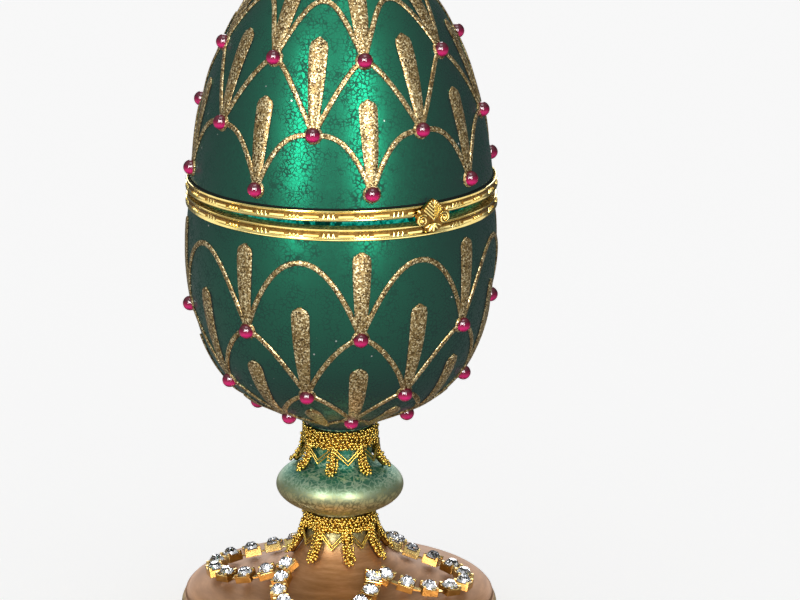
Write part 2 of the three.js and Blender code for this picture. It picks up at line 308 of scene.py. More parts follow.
print("materials that came with the solids:", len(bpy.data.materials))

# %% [markdown]
# The egg's lacquer is a satin metallic green with a crackle: pebble-like cells with dark joints,
# plain where light strikes and nearly lost in the shade. That is how a change of gloss looks, not
# a change of colour, so the joints are made rougher than the cells. A Voronoi texture's distance to
# the cell edge gives the joints, and noise bends some of them and loses others. A second Voronoi
# texture strews a few stray grains of glitter, as strewing by hand leaves them.

# %% Green crackle lacquer
def crackle(tree, scale, bend, fade):
    """Distance to the nearest joint of a field of irregular cells; fade loses some of the joints."""
    noise = textured(tree, "ShaderNodeTexNoise", Scale=scale * 0.8, Detail=2.0)
    shift = add(tree, "ShaderNodeVectorMath", operation="MULTIPLY_ADD")
    tree.links.new(noise.outputs["Color"], shift.inputs[0])
    shift.inputs[1].default_value = (bend, bend, bend)
    tree.links.new(add(tree, "ShaderNodeTexCoord").outputs["Object"], shift.inputs[2])
    cells = textured(
        tree, "ShaderNodeTexVoronoi", shift.outputs[0], feature="DISTANCE_TO_EDGE", Scale=scale
    )
    patches = textured(tree, "ShaderNodeTexNoise", Scale=scale * 0.3, Detail=1.0)
    lost = calc(tree, "MULTIPLY_ADD", patches.outputs["Fac"], fade, -0.5 * fade)
    return calc(tree, "ADD", cells.outputs["Distance"], lost)


def voronoi_shades(tree, scale):
    """Random cells: the distance to a cell's middle and the random values of the cell."""
    cells = textured(tree, "ShaderNodeTexVoronoi", Scale=scale)
    shade = add(tree, "ShaderNodeSeparateColor")
    tree.links.new(cells.outputs["Color"], shade.inputs[0])
    return cells.outputs["Distance"], shade.outputs


def loose_grains(tree):
    """A mask of the few stray grains of glitter that stuck beside the pattern, and their shades."""
    distance, lot = voronoi_shades(tree, 230.0)
    near = calc(tree, "LESS_THAN", distance, 0.055)
    few = calc(tree, "GREATER_THAN", lot[0], 0.5)
    shade = ramp(tree, lot[1], (0.0, (0.3, 0.33, 0.25)), (1.0, (0.9, 0.92, 0.85)))
    return calc(tree, "MULTIPLY", near, few), shade


def green_lacquer():
    # The faint bluish emission is painted light: an even glow over the lacquer that stands in for the haze of
    # room light it mirrors.
    material, tree, principled = shader(
        "green_lacquer", Metallic=1.0, Coat_Weight=0.1, Coat_Roughness=0.5,
        Emission_Color=(0.9, 0.9, 1.15, 1), Emission_Strength=0.019,
    )
    joints = crackle(tree, scale=900, bend=0.0013, fade=0.35)
    colour = ramp(tree, joints, (0.0, (0.0, 0.06, 0.03)), (0.13, (0.001, 0.135, 0.066)))
    grain, shade = loose_grains(tree)
    tree.links.new(mixed(tree, grain, colour, shade), principled.inputs["Base Color"])
    gloss = ramp(tree, joints, (0.02, (0.66, 0.66, 0.66)), (0.15, (0.32, 0.32, 0.32)))
    tree.links.new(gloss, principled.inputs["Roughness"])
    return material


GREEN = green_lacquer()
print("lacquer:", GREEN.name)

# %% [markdown]
# Gold comes in six finishes: the polished gilt of the stamped rims, the same darkened as painted
# shade in sunk places and under the braids, the granular faces where the rims meet, glitter glued in
# lines and petals, the wire of the braids and the gilding of the stone cups. Gilding is never one
# even colour, so slow noise moves each between a dull and a bright tone. Glitter is flakes that each
# catch the light their own way, so a Voronoi texture gives every flake a shade and a height.

# %% Golds
def worn_metal(name, dull, bright, roughness, scale):
    """Gilding whose colour drifts between a dull and a bright tone, as it does with handling."""
    material, tree, principled = shader(name, Metallic=1.0, Roughness=roughness)
    drift = textured(tree, "ShaderNodeTexNoise", Scale=scale, Detail=3.0)
    colour = ramp(tree, drift.outputs["Fac"], (0.35, dull), (0.65, bright))
    tree.links.new(colour, principled.inputs["Base Color"])
    return material


def glitter_gold():
    material, tree, principled = shader("glitter_gold", Metallic=0.8, Roughness=0.36)
    flake = voronoi_shades(tree, 2900.0)[1]
    colour = ramp(
        tree, flake[0],
        (0.0, (0.04, 0.022, 0.008)), (0.3, (0.2, 0.125, 0.045)),
        (0.7, (0.38, 0.265, 0.105)), (0.93, (0.85, 0.71, 0.42)),
    )
    tree.links.new(colour, principled.inputs["Base Color"])
    bump(tree, principled, flake[1], strength=0.9, distance=0.0003)
    return material


def frosted_gilt():
    material, tree, principled = shader("frosted_gilt", Metallic=0.9, Roughness=0.4)
    grain = textured(tree, "ShaderNodeTexNoise", Scale=1800.0, Detail=2.0)
    colour = ramp(
        tree, grain.outputs["Fac"],
        (0.38, (0.14, 0.08, 0.015)), (0.52, (0.5, 0.34, 0.08)), (0.66, (0.95, 0.75, 0.3)),
    )
    tree.links.new(colour, principled.inputs["Base Color"])
    return material


GILT = worn_metal("polished_gilt", (0.86, 0.63, 0.19), (0.98, 0.78, 0.3), 0.16, 260)
# The darkened gilt is painted shade: a shaded copy of the gilt for the rims' channels, the clasp's plate and
# the braids' core.
SHADED_GILT = worn_metal("shaded_gilt", (0.14, 0.07, 0.015), (0.26, 0.14, 0.033), 0.35, 900)
BULLION = worn_metal("bullion_wire", (0.5, 0.32, 0.06), (0.84, 0.6, 0.14), 0.22, 700)
CUP_GILT = worn_metal("cup_gilding", (0.66, 0.46, 0.15), (0.95, 0.72, 0.28), 0.2, 350)
GLITTER = glitter_gold()
FROSTED = frosted_gilt()
print("golds:", [m.name for m in (GILT, SHADED_GILT, FROSTED, GLITTER, BULLION, CUP_GILT)])

# %% [markdown]
# The clear stones are glass over a bright foil. A ruby bead could be clear glass too, but over
# dark lacquer it would look black: what shows in a real one is light that has gathered below its
# middle. So each bead carries an attribute, its height from 0 to 1, and the colour follows it.

# %% Stones, seam shade and felt
def ruby_glass():
    """Deep at the crown and bright below, where light gathers in a glass bead."""
    material, tree, principled = shader(
        "ruby_glass", Roughness=0.02, IOR=1.6, Transmission_Weight=0.35
    )
    height = add(tree, "ShaderNodeAttribute", attribute_name="bead_height")
    colour = ramp(
        tree, height.outputs["Fac"],
        (0.0, (0.07, 0.0, 0.01)), (0.32, (0.42, 0.008, 0.1)), (0.52, (0.17, 0.0, 0.03)),
        (0.75, (0.045, 0.0, 0.006)), (1.0, (0.07, 0.0, 0.01)),
    )
    tree.links.new(colour, principled.inputs["Base Color"])
    return material


def black_felt():
    """Flocked fibres: a fine fuzz of darker and lighter specks that stand up a little."""
    material, tree, principled = shader("black_felt", Roughness=1.0, Sheen_Weight=0.3)
    fuzz = textured(tree, "ShaderNodeTexNoise", Scale=2600.0, Detail=4.0)
    colour = ramp(
        tree, fuzz.outputs["Fac"], (0.35, (0.006, 0.0055, 0.005)), (0.7, (0.022, 0.02, 0.018))
    )
    tree.links.new(colour, principled.inputs["Base Color"])
    bump(tree, principled, fuzz.outputs["Fac"], strength=0.6, distance=0.0003)
    return material


CRYSTAL, *_ = shader(
    "cut_crystal", Base_Color=(1, 1, 1, 1), Roughness=0.0, IOR=1.6, Transmission_Weight=1.0
)
FOIL, *_ = shader("stone_foil", Base_Color=(0.8, 0.81, 0.84, 1), Metallic=1.0, Roughness=0.12)
# A near-black matte for the thin ring in the seam above the lid's rim: painted shade, the shadow in that gap.
SEAM_SHADE, *_ = shader(
    "seam_shade", Base_Color=(0.004, 0.006, 0.005, 1), Roughness=0.8, Specular_IOR_Level=0.1
)
RUBY = ruby_glass()
FELT = black_felt()
print("stones:", [m.name for m in (CRYSTAL, FOIL, RUBY)])

# %% [markdown]
# The stand is one blown piece whose lacquer changes on the way down: green with pale veins on the
# knob's top, champagne gold on its underside, brushed bronze on the foot and bright crackled gold
# round its edge. The height alone, in metres, steers the mixing. The brush strokes run round the
# foot, so their noise reads the angle round the axis and the height, stretched.

# %% Stand lacquer
KNOB_TURN_GOLD = 0.0412
NECK_TURN_GOLD = 0.025
EDGE_TOP = 0.0088


def above(tree, height, level, spread):
    """A smooth step from 0 to 1 as a height passes a level."""
    step = add(tree, "ShaderNodeMapRange", interpolation_type="SMOOTHSTEP")
    step.inputs["From Min"].default_value = level - spread
    step.inputs["From Max"].default_value = level + spread
    tree.links.new(height, step.inputs["Value"])
    return step.outputs["Result"]


def brushed_bronze(tree, x, y, height):
    """Bronze with strokes that run round the foot."""
    brush = add(tree, "ShaderNodeCombineXYZ")
    tree.links.new(calc(tree, "ARCTAN2", y, x), brush.inputs[0])
    tree.links.new(calc(tree, "MULTIPLY", height, 500.0), brush.inputs[1])
    strokes = textured(
        tree, "ShaderNodeTexNoise", brush.outputs[0], Scale=2.2, Detail=5.0, Roughness=0.65
    )
    return ramp(
        tree, strokes.outputs["Fac"],
        (0.3, (0.29, 0.135, 0.052)), (0.5, (0.39, 0.19, 0.078)), (0.7, (0.5, 0.26, 0.12)),
    )


def stand_lacquer():
    material, tree, principled = shader("stand_lacquer", Metallic=0.78, Roughness=0.4)
    x, y, height = axes_of(tree)
    veins = crackle(tree, scale=620, bend=0.004, fade=0.3)
    green = ramp(
        tree, veins, (0.0, (0.45, 0.6, 0.42)), (0.08, (0.17, 0.38, 0.26)), (0.18, (0.03, 0.2, 0.135))
    )
    gold = ramp(
        tree, veins, (0.0, (0.16, 0.14, 0.06)), (0.1, (0.34, 0.3, 0.14)), (0.24, (0.48, 0.42, 0.2))
    )
    edge = ramp(
        tree, veins, (0.0, (0.2, 0.13, 0.05)), (0.08, (0.45, 0.31, 0.13)), (0.25, (0.7, 0.5, 0.24))
    )
    bronze = brushed_bronze(tree, x, y, height)
    foot = mixed(tree, above(tree, height, EDGE_TOP, 0.0004), edge, bronze)
    lower = mixed(tree, above(tree, height, NECK_TURN_GOLD, 0.003), foot, gold)
    colour = mixed(tree, above(tree, height, KNOB_TURN_GOLD, 0.0036), lower, green)
    tree.links.new(colour, principled.inputs["Base Color"])
    return material


STAND = stand_lacquer()
print("stand lacquer:", STAND.name)

# %% [markdown]
# The camera repeats the photograph's: a long lens, a little above the egg's middle, with the clasp
# a third of a right angle to the right of it. The photograph was framed by hand, so the view is
# turned a little aside and rolled by half a degree.

# %% Camera
VIEW_TURN = math.radians(-34)
VIEW_DISTANCE = 1.3
VIEW_HEIGHT = 0.4557
VIEW_PITCH = math.radians(15.73)
VIEW_ASIDE = math.radians(0.68)
VIEW_ROLL = math.radians(0.5)
lens = bpy.data.cameras.new("photo_lens")
lens.sensor_width = 36
lens.lens = 232.7
lens.clip_end = 20
camera = bpy.data.objects.new("photo_camera", lens)
heading = Matrix.Rotation(VIEW_TURN - VIEW_ASIDE, 4, "Z")
pitch_down = Matrix.Rotation(math.pi / 2 - VIEW_PITCH, 4, "X")
stand_point = around(VIEW_TURN, VIEW_DISTANCE, VIEW_HEIGHT)
roll = Matrix.Rotation(VIEW_ROLL, 4, "Z")
camera.matrix_world = Matrix.Translation(stand_point) @ heading @ pitch_down @ roll
bpy.context.scene.collection.objects.link(camera)
bpy.context.scene.camera = camera
print("camera at", [round(x, 3) for x in stand_point])

# %% [markdown]
# The pattern on the egg is rows of arches, each row half a column off the one below, with a petal
# on every crossing. A row is the height of its arches' feet, the power of their curve and the
# height of its petals' tops; an arch rises to the feet of the row above. Seen from inside, the
# glass glows a bright teal, a painted light for the light that comes through it, and the pattern is
# its dark painted shadow. The shadow is worked out in the shader from the angle round the egg and
# the height, so it lies exactly behind the lines.

# %% Pattern rows and the shadowed inside
LID_ROWS = [(126.4, 3.0, 149.7), (141.1, 1.6, 164.4), (158.8, 2.3, 177.2)]
LID_PEAK = 172.5
BOWL_ROWS = [(59.8, 1.5, 68.1), (63.4, 1.5, 81.5), (72.9, 1.6, 98.4), (90.0, 2.1, 113.2)]
BOWL_PEAK = 110.0
BOWL_TURN = math.radians(-4)
LID_PATTERN = (LID_ROWS, LID_PEAK, 0, 0.0)
BOWL_PATTERN = (BOWL_ROWS, BOWL_PEAK, 1, BOWL_TURN)
PETAL_SHADOW = 0.86


def row_turn(row, column):
    """The angle of a crossing: odd rows stand on the columns, even rows between them."""
    return (column + (0 if row % 2 else 0.5)) * COLUMN


def peak_of(rows, k, top):
    """The height that the arches of a row rise to."""
    return rows[k + 1][0] if k + 1 < len(rows) else top


def pattern_shadow(tree, rows, top, first_row, start):
    """1 where the pattern lies behind the glass, 0 elsewhere."""
    x, y, z = axes_of(tree)
    turn = calc(tree, "ARCTAN2", x, calc(tree, "MULTIPLY", y, -1.0))
    height = calc(tree, "MULTIPLY", z, 1 / MM)
    shadow = 0.0
    for k, (foot, power, petal_top) in enumerate(rows):
        peak = peak_of(rows, k, top)
        off_start = calc(tree, "SUBTRACT", turn, start + row_turn(k + first_row, 0))
        column = calc(tree, "FRACT", calc(tree, "MULTIPLY", off_start, 1 / COLUMN))
        side = calc(tree, "ABSOLUTE", calc(tree, "MULTIPLY_ADD", column, 2.0, -1.0))
        arch = calc(tree, "MULTIPLY_ADD", calc(tree, "POWER", side, power), foot - peak, peak)
        off_arch = calc(tree, "ABSOLUTE", calc(tree, "SUBTRACT", height, arch))
        line = calc(tree, "LESS_THAN", off_arch, calc(tree, "MULTIPLY_ADD", side, 1.4, 0.6))
        near = calc(tree, "GREATER_THAN", side, PETAL_SHADOW)
        tall = calc(tree, "COMPARE", height, (foot + petal_top) / 2, (petal_top - foot) / 2)
        petal = calc(tree, "MULTIPLY", near, tall)
        shadow = calc(tree, "MAXIMUM", shadow, calc(tree, "MAXIMUM", line, petal))
    return shadow


def inner_lacquer(name, pattern):
    """Teal glass that glows by emission, painted light for the light behind it, speckled, with the pattern's
    shadow.
    """
    # The emission is painted light: the teal and the pattern's painted shadow glow as if lit through the
    # glass.
    material, tree, principled = shader(
        name, Metallic=0.3, Roughness=0.2, Emission_Strength=0.5
    )
    specks = textured(tree, "ShaderNodeTexNoise", Scale=1300.0, Detail=3.0)
    clear = ramp(
        tree, specks.outputs["Fac"],
        (0.36, (0.0, 0.1, 0.085)), (0.5, (0.0, 0.34, 0.26)), (0.66, (0.05, 0.6, 0.47)),
    )
    dark = ramp(tree, specks.outputs["Fac"], (0.4, (0.0, 0.025, 0.02)), (0.6, (0.0, 0.07, 0.05)))
    colour = mixed(tree, pattern_shadow(tree, *pattern), clear, dark)
    tree.links.new(colour, principled.inputs["Base Color"])
    tree.links.new(colour, principled.inputs["Emission Color"])
    return material


LID_TEAL = inner_lacquer("lid_inside", LID_PATTERN)
BOWL_TEAL = inner_lacquer("bowl_inside", BOWL_PATTERN)
print("rows on the lid:", len(LID_ROWS), "on the bowl:", len(BOWL_ROWS))

# %% [markdown]
# The shells are turned as closed walls: up the outside, over the edge and down the inside, so the
# glass has its real thickness when the lid opens. A Solidify modifier would do as well, but here
# the inner wall can stop short of the edge, where the rim's flange lies. Inner faces get the teal
# lacquer, and a thin dark ring fills the seam above the lid's rim as painted shade, the shadow in the
# gap between glass and rim.

# %% Lid glass
SHELL_STEPS = 128
CROWN_STEPS = 40
SEAM_SHADE_LOW = 0.2
SEAM_SHADE_PROUD = 0.3
SEAM_SHADE_HIGH = 0.4


def wall_inside(radius_at, z):
    """The point of the inner wall that faces the outside at a height."""
    n_r, n_z = out_of_glass(radius_at, z)
    return radius_at(z) - WALL * n_r, z - WALL * n_z


lid_drop = LID_TOP - LID_EDGE
crown = [LID_TOP - lid_drop * (1 - math.cos(a * math.pi / 2 / CROWN_STEPS)) for a in range(1, CROWN_STEPS)]
lid_outside = [(0, LID_TOP)] + [(lid_radius(z), z) for z in crown] + [(lid_radius(LID_EDGE), LID_EDGE)]
lid_inside = [wall_inside(lid_radius, z) for z in crown if LID_EDGE + 3 < z < LID_TOP - 0.3]
lid_edge = [(lid_radius(LID_EDGE) - WALL, LID_EDGE)]
bm = turned(lid_outside + lid_edge + lid_inside[::-1] + [(0, LID_TOP - WALL)], SHELL_STEPS)
for face in bm.faces:
    middle = face.calc_center_median()
    outward = Vector((middle.x, middle.y, max(middle.z - 140, 0)))
    if face.normal.dot(outward) < 0 and middle.z > LID_EDGE + 0.01:
        face.material_index = 1
# The thin dark ring in the seam above the lid's rim is painted shade: it stands for the shadow in the gap
# between glass and rim.
seam_shade_z = LID_RIM_BOTTOM + LID_RIM_TALL
seam_shade_r = lid_radius(seam_shade_z)
seam_shade_profile = [
    (seam_shade_r, seam_shade_z - SEAM_SHADE_LOW), (seam_shade_r + SEAM_SHADE_PROUD, seam_shade_z), (seam_shade_r, seam_shade_z + SEAM_SHADE_HIGH)
]
seam_shade_ring = turned(seam_shade_profile, SHELL_STEPS)
paint(seam_shade_ring, 2)
join(bm, seam_shade_ring)
finish_piece(bm, "lid_glass", "lid", [GREEN, LID_TEAL, SEAM_SHADE], ["lid_shell"])

# %% Bowl glass
BOWL_STEPS = 44

bowl_levels = [BOWL_EDGE - (BOWL_EDGE - CONE_TOP) * a / BOWL_STEPS for a in range(BOWL_STEPS + 1)]
bowl_outside = [(0, NECK_TOP), (UPPER_NECK, NECK_TOP)] + [(bowl_radius(z), z) for z in bowl_levels[::-1]]
bowl_edge = [(bowl_radius(BOWL_EDGE) - WALL, BOWL_EDGE)]
bowl_inside = [wall_inside(bowl_radius, z) for z in bowl_levels if z < BOWL_EDGE - 2]
floor_edge = wall_inside(bowl_radius, NECK_TOP + WALL)
bm = turned(bowl_outside + bowl_edge + bowl_inside + [floor_edge, (0, floor_edge[1])], SHELL_STEPS)
for face in bm.faces:
    middle = face.calc_center_median()
    flat = Vector((middle.x, middle.y, 0))
    inner_wall = face.normal.dot(flat) < -0.01 * flat.length
    if inner_wall or (face.normal.z > 0.9 and middle.z < 80):
        face.material_index = 1
finish_piece(bm, "bowl_glass", "base", [GREEN, BOWL_TEAL], ["bowl_shell"])

# %% [markdown]
# The foot and the knob are turned in one, as the glass was blown. The dome's section is a smooth
# curve through a few measured points, drawn by a Catmull-Rom spline, and the knob's is part of an
# ellipse between the two necks.

# %% Stand and felt
KNOB_RADIUS = 16.8
KNOB_HALF = 7.45
KNOB_CENTRE = 39.4
KNOB_STEPS = 28
FOOT_BOTTOM = 1.4
FOOT_SHOULDER = 8.5
FOOT_POINTS = [
    (39.9, FOOT_BOTTOM), (41.5, 2.8), (41.9, 5.0), (41.6, 7.4), (41.0, 8.8), (40.75, 9.2), (40.4, 10.4),
    (38.5, 11.8), (34, 12.7), (26, 14.3), (18, 17.1), (13, 20.5), (10, 24), (8.4, 28.5),
]
FELT_RADIUS = 39.5
FELT_TOP = 1.1
FELT_SOFT = 0.2


def smooth_line(points, cuts):
    """Points along a Catmull-Rom spline through the given (radius, height) points."""
    line = []
    padded = [points[0], *points, points[-1]]
    for p0, p1, p2, p3 in zip(padded, padded[1:], padded[2:], padded[3:]):
        for k in range(cuts):
            t = k / cuts
            point = []
            for a, b, c, d in zip(p0, p1, p2, p3):
                square = (2 * a - 5 * b + 4 * c - d) * t**2
                cube = (3 * b - a - 3 * c + d) * t**3
                point.append(0.5 * (2 * b + (c - a) * t + square + cube))
            line.append(tuple(point))
    return line + [points[-1]]


dome = smooth_line(FOOT_POINTS, 5)


def dome_height(r):
    """Height of the foot's upper side at a radius."""
    for (r0, z0), (r1, z1) in zip(dome, dome[1:]):
        if r1 <= r <= r0 and z0 > FOOT_SHOULDER:
            return z0 + (z1 - z0) * (r - r0) / (r1 - r0)
    return dome[-1][1]


low_angle = -math.acos(LOWER_NECK / KNOB_RADIUS)
high_angle = math.acos(UPPER_NECK / KNOB_RADIUS)
angles = [low_angle + (high_angle - low_angle) * k / KNOB_STEPS for k in range(KNOB_STEPS + 1)]
knob = [(KNOB_RADIUS * math.cos(a), KNOB_CENTRE + KNOB_HALF * math.sin(a)) for a in angles]
neck = [(UPPER_NECK, NECK_TOP - GLASS_GAP), (0, NECK_TOP - GLASS_GAP)]
bm = turned([(0, FOOT_BOTTOM)] + dome + knob + neck, SHELL_STEPS)
finish_piece(bm, "stand_glass", "base", [STAND], ["stand"])
felt_side = [(FELT_RADIUS - FELT_SOFT, 0), (FELT_RADIUS, FELT_SOFT), (FELT_RADIUS, FELT_TOP)]
bm = turned([(0, 0), *felt_side, (0, FELT_TOP)], SHELL_STEPS)
finish_piece(bm, "felt_base", "base", [FELT], ["felt_pad"])

# %% [markdown]
# The scale pattern is drawn with glue and strewn with glitter. A line or petal is a round bar, cut
# into short lengths and bent on to the glass: its length follows the arch, its width lies along
# the glass, and its height is squeezed to the thickness of the glue. A curve with a bevel would
# be quicker to write, but it would roll over on the round glass instead of lying flat.

# %% Bars laid on the glass
GLUE = 0.55
GLUE_SUNK = 0.35
PATH_STEP = 0.002


def blank_bar(sides, steps):
    """A closed upright bar of radius 1 and length 1, cut into steps, in a bmesh of its own."""
    bar = bmesh.new()
    bmesh.ops.create_cone(bar, cap_ends=True, segments=sides, radius1=1, radius2=1, depth=1)
    upright = [e for e in bar.edges if abs(e.verts[0].co.z - e.verts[1].co.z) > 0.5]
    bmesh.ops.subdivide_edges(bar, edges=upright, cuts=steps - 1, use_grid_fill=True)
    return bar


def lay_on_glass(bm, radius_at, path, width_at, sides=8, steps=26):
    """Bends a blank bar on to the glass along path(t) -> (turn, z), with a width along it."""
    bar = blank_bar(sides, steps)
    for v in bar.verts:
        t = v.co.z + 0.5
        here = on_glass(radius_at, *path(t))
        ahead = on_glass(radius_at, *path(min(t + PATH_STEP, 1)))
        along = ahead - on_glass(radius_at, *path(max(t - PATH_STEP, 0)))
        out = on_glass(radius_at, *path(t), 1.0) - here
        across = along.normalized().cross(out)
        height = GLUE * (GLUE_SUNK + (1 - GLUE_SUNK) * v.co.y)
        v.co = here + across * (v.co.x * width_at(t) / 2) + out * height
    join(bm, bar)


print("glue stands", GLUE, "mm off the glass")

# %% [markdown]
# An arch's height falls off by a power of the way from its middle to its foot. Its steps are
# drawn together towards the feet, where it bends most. A petal is slim at the stone and full
# towards its round top. Under each ruby lies a dab of the same glue.

# %% Arches, petals and dabs
LINE_WIDTH = 1.4
PETAL_WIDTH = 4.8
PETAL_FULL = 0.82
PETAL_FOOT = 0.4
STEP_DRAW = 1.4
RUBY_ROWS = 3
DAB = 2.4
DAB_TALL = 0.9


def arch_path(turn, foot, peak, power):
    """The way of an arch, from foot to foot."""
    def path(t):
        side = 2 * t - 1
        side = math.copysign(1 - (1 - abs(side)) ** STEP_DRAW, side)
        return turn + side * COLUMN / 2, peak - (peak - foot) * abs(side) ** power

    return path


def petal_path(turn, foot, top):
    """The way of a petal, straight up the glass."""
    def path(t):
        return turn, foot + (top - foot) * t

    return path


def line_width(t):
    return LINE_WIDTH


def petal_width(length):
    """Width along a petal: slim at the stone, full towards the top, with a round end."""
    cap = PETAL_WIDTH / 2 / length

    def width(t):
        swell = min(t / PETAL_FULL, 1)
        body = PETAL_FOOT + (1 - PETAL_FOOT) * swell * (1.7 - 0.7 * swell)
        over = max(t - (1 - cap), 0) / cap
        return PETAL_WIDTH * body * math.sqrt(max(1 - over**2, 0.02))

    return width


def glue_dab(bm, radius_at, turn, z):
    """A low round dab of glittered glue that a ruby is pressed into."""
    here = on_glass(radius_at, turn, z)
    out = on_glass(radius_at, turn, z, 1.0) - here
    spot = Matrix.Translation(here) @ out.to_track_quat("Z", "Y").to_matrix().to_4x4()
    dab = bmesh.new()
    flat = spot @ Matrix.Diagonal((DAB, DAB, DAB_TALL, 1))
    bmesh.ops.create_uvsphere(dab, u_segments=16, v_segments=8, radius=1, matrix=flat)
    join(bm, dab)


def draw_tracery(radius_at, rows, top, first_row, start):
    """All the arches, petals and dabs of one half of the egg."""
    bm = bmesh.new()
    for k, (foot, power, petal_top) in enumerate(rows):
        peak = peak_of(rows, k, top)
        for column in range(COLUMNS):
            turn = start + row_turn(k + first_row, column)
            arch = arch_path(turn + COLUMN / 2, foot, peak, power)
            lay_on_glass(bm, radius_at, arch, line_width)
            petal = petal_path(turn, foot, petal_top)
            lay_on_glass(bm, radius_at, petal, petal_width(petal_top - foot), sides=12, steps=22)
            if len(rows) - k <= RUBY_ROWS:
                glue_dab(bm, radius_at, turn, foot)
    bmesh.ops.recalc_face_normals(bm, faces=bm.faces)
    return bm


print("arches in a row:", COLUMNS)

# %% Glitter tracery
bm = draw_tracery(lid_radius, *LID_PATTERN)
finish_piece(bm, "lid_glitter", "lid", [GLITTER], ["lid_tracery"])
bm = draw_tracery(bowl_radius, *BOWL_PATTERN)
finish_piece(bm, "bowl_glitter", "base", [GLITTER], ["bowl_tracery"])

# %% [markdown]
# A ruby cabochon is a glass bead glued on each crossing. A sphere with its middle just above the
# glass gives the round outline that the photograph shows against the background.

# %% Ruby cabochons
RUBY_RADIUS = 1.95
RUBY_LIFT = 0.7
ROW_NAMES = ("low", "middle", "high")


def set_rubies(radius_at, row, z, start):
    """A row of beads, each with its own height from 0 to 1 as an attribute."""
    bm = bmesh.new()
    height = bm.verts.layers.float.new("bead_height")
    for column in range(COLUMNS):
        middle = on_glass(radius_at, start + row_turn(row, column), z, RUBY_LIFT)
        spot = Matrix.Translation(middle)
        bead = bmesh.ops.create_uvsphere(bm, u_segments=20, v_segments=12, radius=RUBY_RADIUS, matrix=spot)
        for v in bead["verts"]:
            v[height] = 0.5 + (v.co.z - middle.z) / (2 * RUBY_RADIUS)
    return bm


for part, body, radius_at, rows, start in (
    ("lid", "lid", lid_radius, LID_ROWS, 0.0), ("bowl", "base", bowl_radius, BOWL_ROWS[1:], BOWL_TURN)
):
    for row, (name, (z, power, petal_top)) in enumerate(zip(ROW_NAMES, rows)):
        nodes = [f"ruby_{part}_{name}_{c + 1}" for c in range(COLUMNS)]
        bm = set_rubies(radius_at, row, z, start)
        finish_piece(bm, f"{part}_rubies_{name}", body, [RUBY], nodes)

# %% [markdown]
# The rims are stamped brass: a smooth moulding with a sunk channel, and in the channel a repeat of
# three pearls, a bar, a crest of three points and another bar. The moulding is turned, and the
# repeat is laid round it by a loop.

# %% Stamped channel
REPEATS = 14
CHANNEL_RADIUS = 40.12
PEARL = 0.46
PEARL_STEP = 0.026
POINT_STEP = 0.03
POINT_TALL = 1.1
BAR = 4.0
BAR_FOOT = 0.25
BAR_TALL = 0.5
BAR_PROUD = 0.28
BAR_SUNK = 0.2


def on_rim(turn, z):
    """A frame on a channel's face: X along the rim, Y into it, Z up."""
    return Matrix.Translation(around(turn, CHANNEL_RADIUS, z)) @ Matrix.Rotation(turn, 4, "Z")


def stamp_bar(stamp, middle, foot):
    """A low bar along the channel: a strip of quads, thickened and bent round the rim."""
    strip = bmesh.ops.create_grid(stamp, x_segments=8, y_segments=1, size=0.5)["verts"]
    faces = list(dict.fromkeys(f for v in strip for f in v.link_faces))
    block = bmesh.ops.extrude_face_region(stamp, geom=faces)["geom"]
    raised = [v for v in block if isinstance(v, bmesh.types.BMVert)]
    for v in strip + raised:
        turn = middle + v.co.x * BAR / CHANNEL_RADIUS
        depth = CHANNEL_RADIUS + (BAR_PROUD if v in raised else -BAR_SUNK)
        v.co = around(turn, depth, foot + BAR_FOOT + BAR_TALL * (v.co.y + 0.5))


def stamp_channel(bm, foot):
    """The stamped repeat round a rim, with its foot at a height."""
    repeat = TURN / REPEATS
    for k in range(REPEATS):
        start = k * repeat
        stamp = bmesh.new()
        for i in (-1, 0, 1):
            spot = on_rim(start + i * PEARL_STEP, foot + PEARL)
            bmesh.ops.create_uvsphere(stamp, u_segments=10, v_segments=6, radius=PEARL, matrix=spot)
            spot = on_rim(start + repeat / 2 + i * POINT_STEP, foot + POINT_TALL / 2)
            flat = spot @ Matrix.Diagonal((1, 0.7, 1, 1))
            bmesh.ops.create_cone(
                stamp, cap_ends=True, segments=8, radius1=0.5, radius2=0.12, depth=POINT_TALL, matrix=flat
            )
        for side in (-1, 1):
            stamp_bar(stamp, start + side * repeat / 4, foot)
        bmesh.ops.recalc_face_normals(stamp, faces=stamp.faces)
        join(bm, stamp)


print("stamped repeats on each rim:", REPEATS)

# %% [markdown]
# The hinge is three barrels on a pin: two on the bowl's rim and one between them on the lid's. Each
# barrel sits on a small leaf. The ends of a barrel are softened by a bevel, as a file would leave
# them, and the leaf is plain, because the barrel covers it.

# %% Hinge
BARREL = 1.5
BARREL_SOFT = 0.2
PIN = 0.7
PIN_HALF = 5.3
MIDDLE_BARREL = 2.1
SIDE_BARREL = (2.4, 5.8)


def knuckle(bm, left, right, radius):
    """A hinge barrel along X between two places, with softened ends."""
    middle = Matrix.Translation(((left + right) / 2, HINGE_Y, HINGE_Z))
    made = bmesh.ops.create_cone(
        bm, cap_ends=True, segments=24, radius1=radius, radius2=radius, depth=right - left,
        matrix=middle @ Matrix.Rotation(math.pi / 2, 4, "Y"),
    )["verts"]
    ends = [e for e in touching(made) if abs(e.verts[0].co.x - e.verts[1].co.x) < 1e-4]
    bmesh.ops.bevel(
        bm, geom=ends, offset=BARREL_SOFT, affect="EDGES", segments=2, profile=0.5, material=-1,
        clamp_overlap=True,
    )


def leaf(bm, left, right, low, high):
    """The small plate that carries a barrel, from the rim's wall to the hinge axis."""
    size = (right - left, HINGE_Y - RIM_OUTER + 1, high - low)
    middle = ((left + right) / 2, (HINGE_Y + RIM_OUTER - 1) / 2, (low + high) / 2)
    bmesh.ops.create_cube(bm, size=1, matrix=Matrix.Translation(middle) @ Matrix.Diagonal((*size, 1)))


print("hinge barrels reach", SIDE_BARREL[1], "mm to each side")
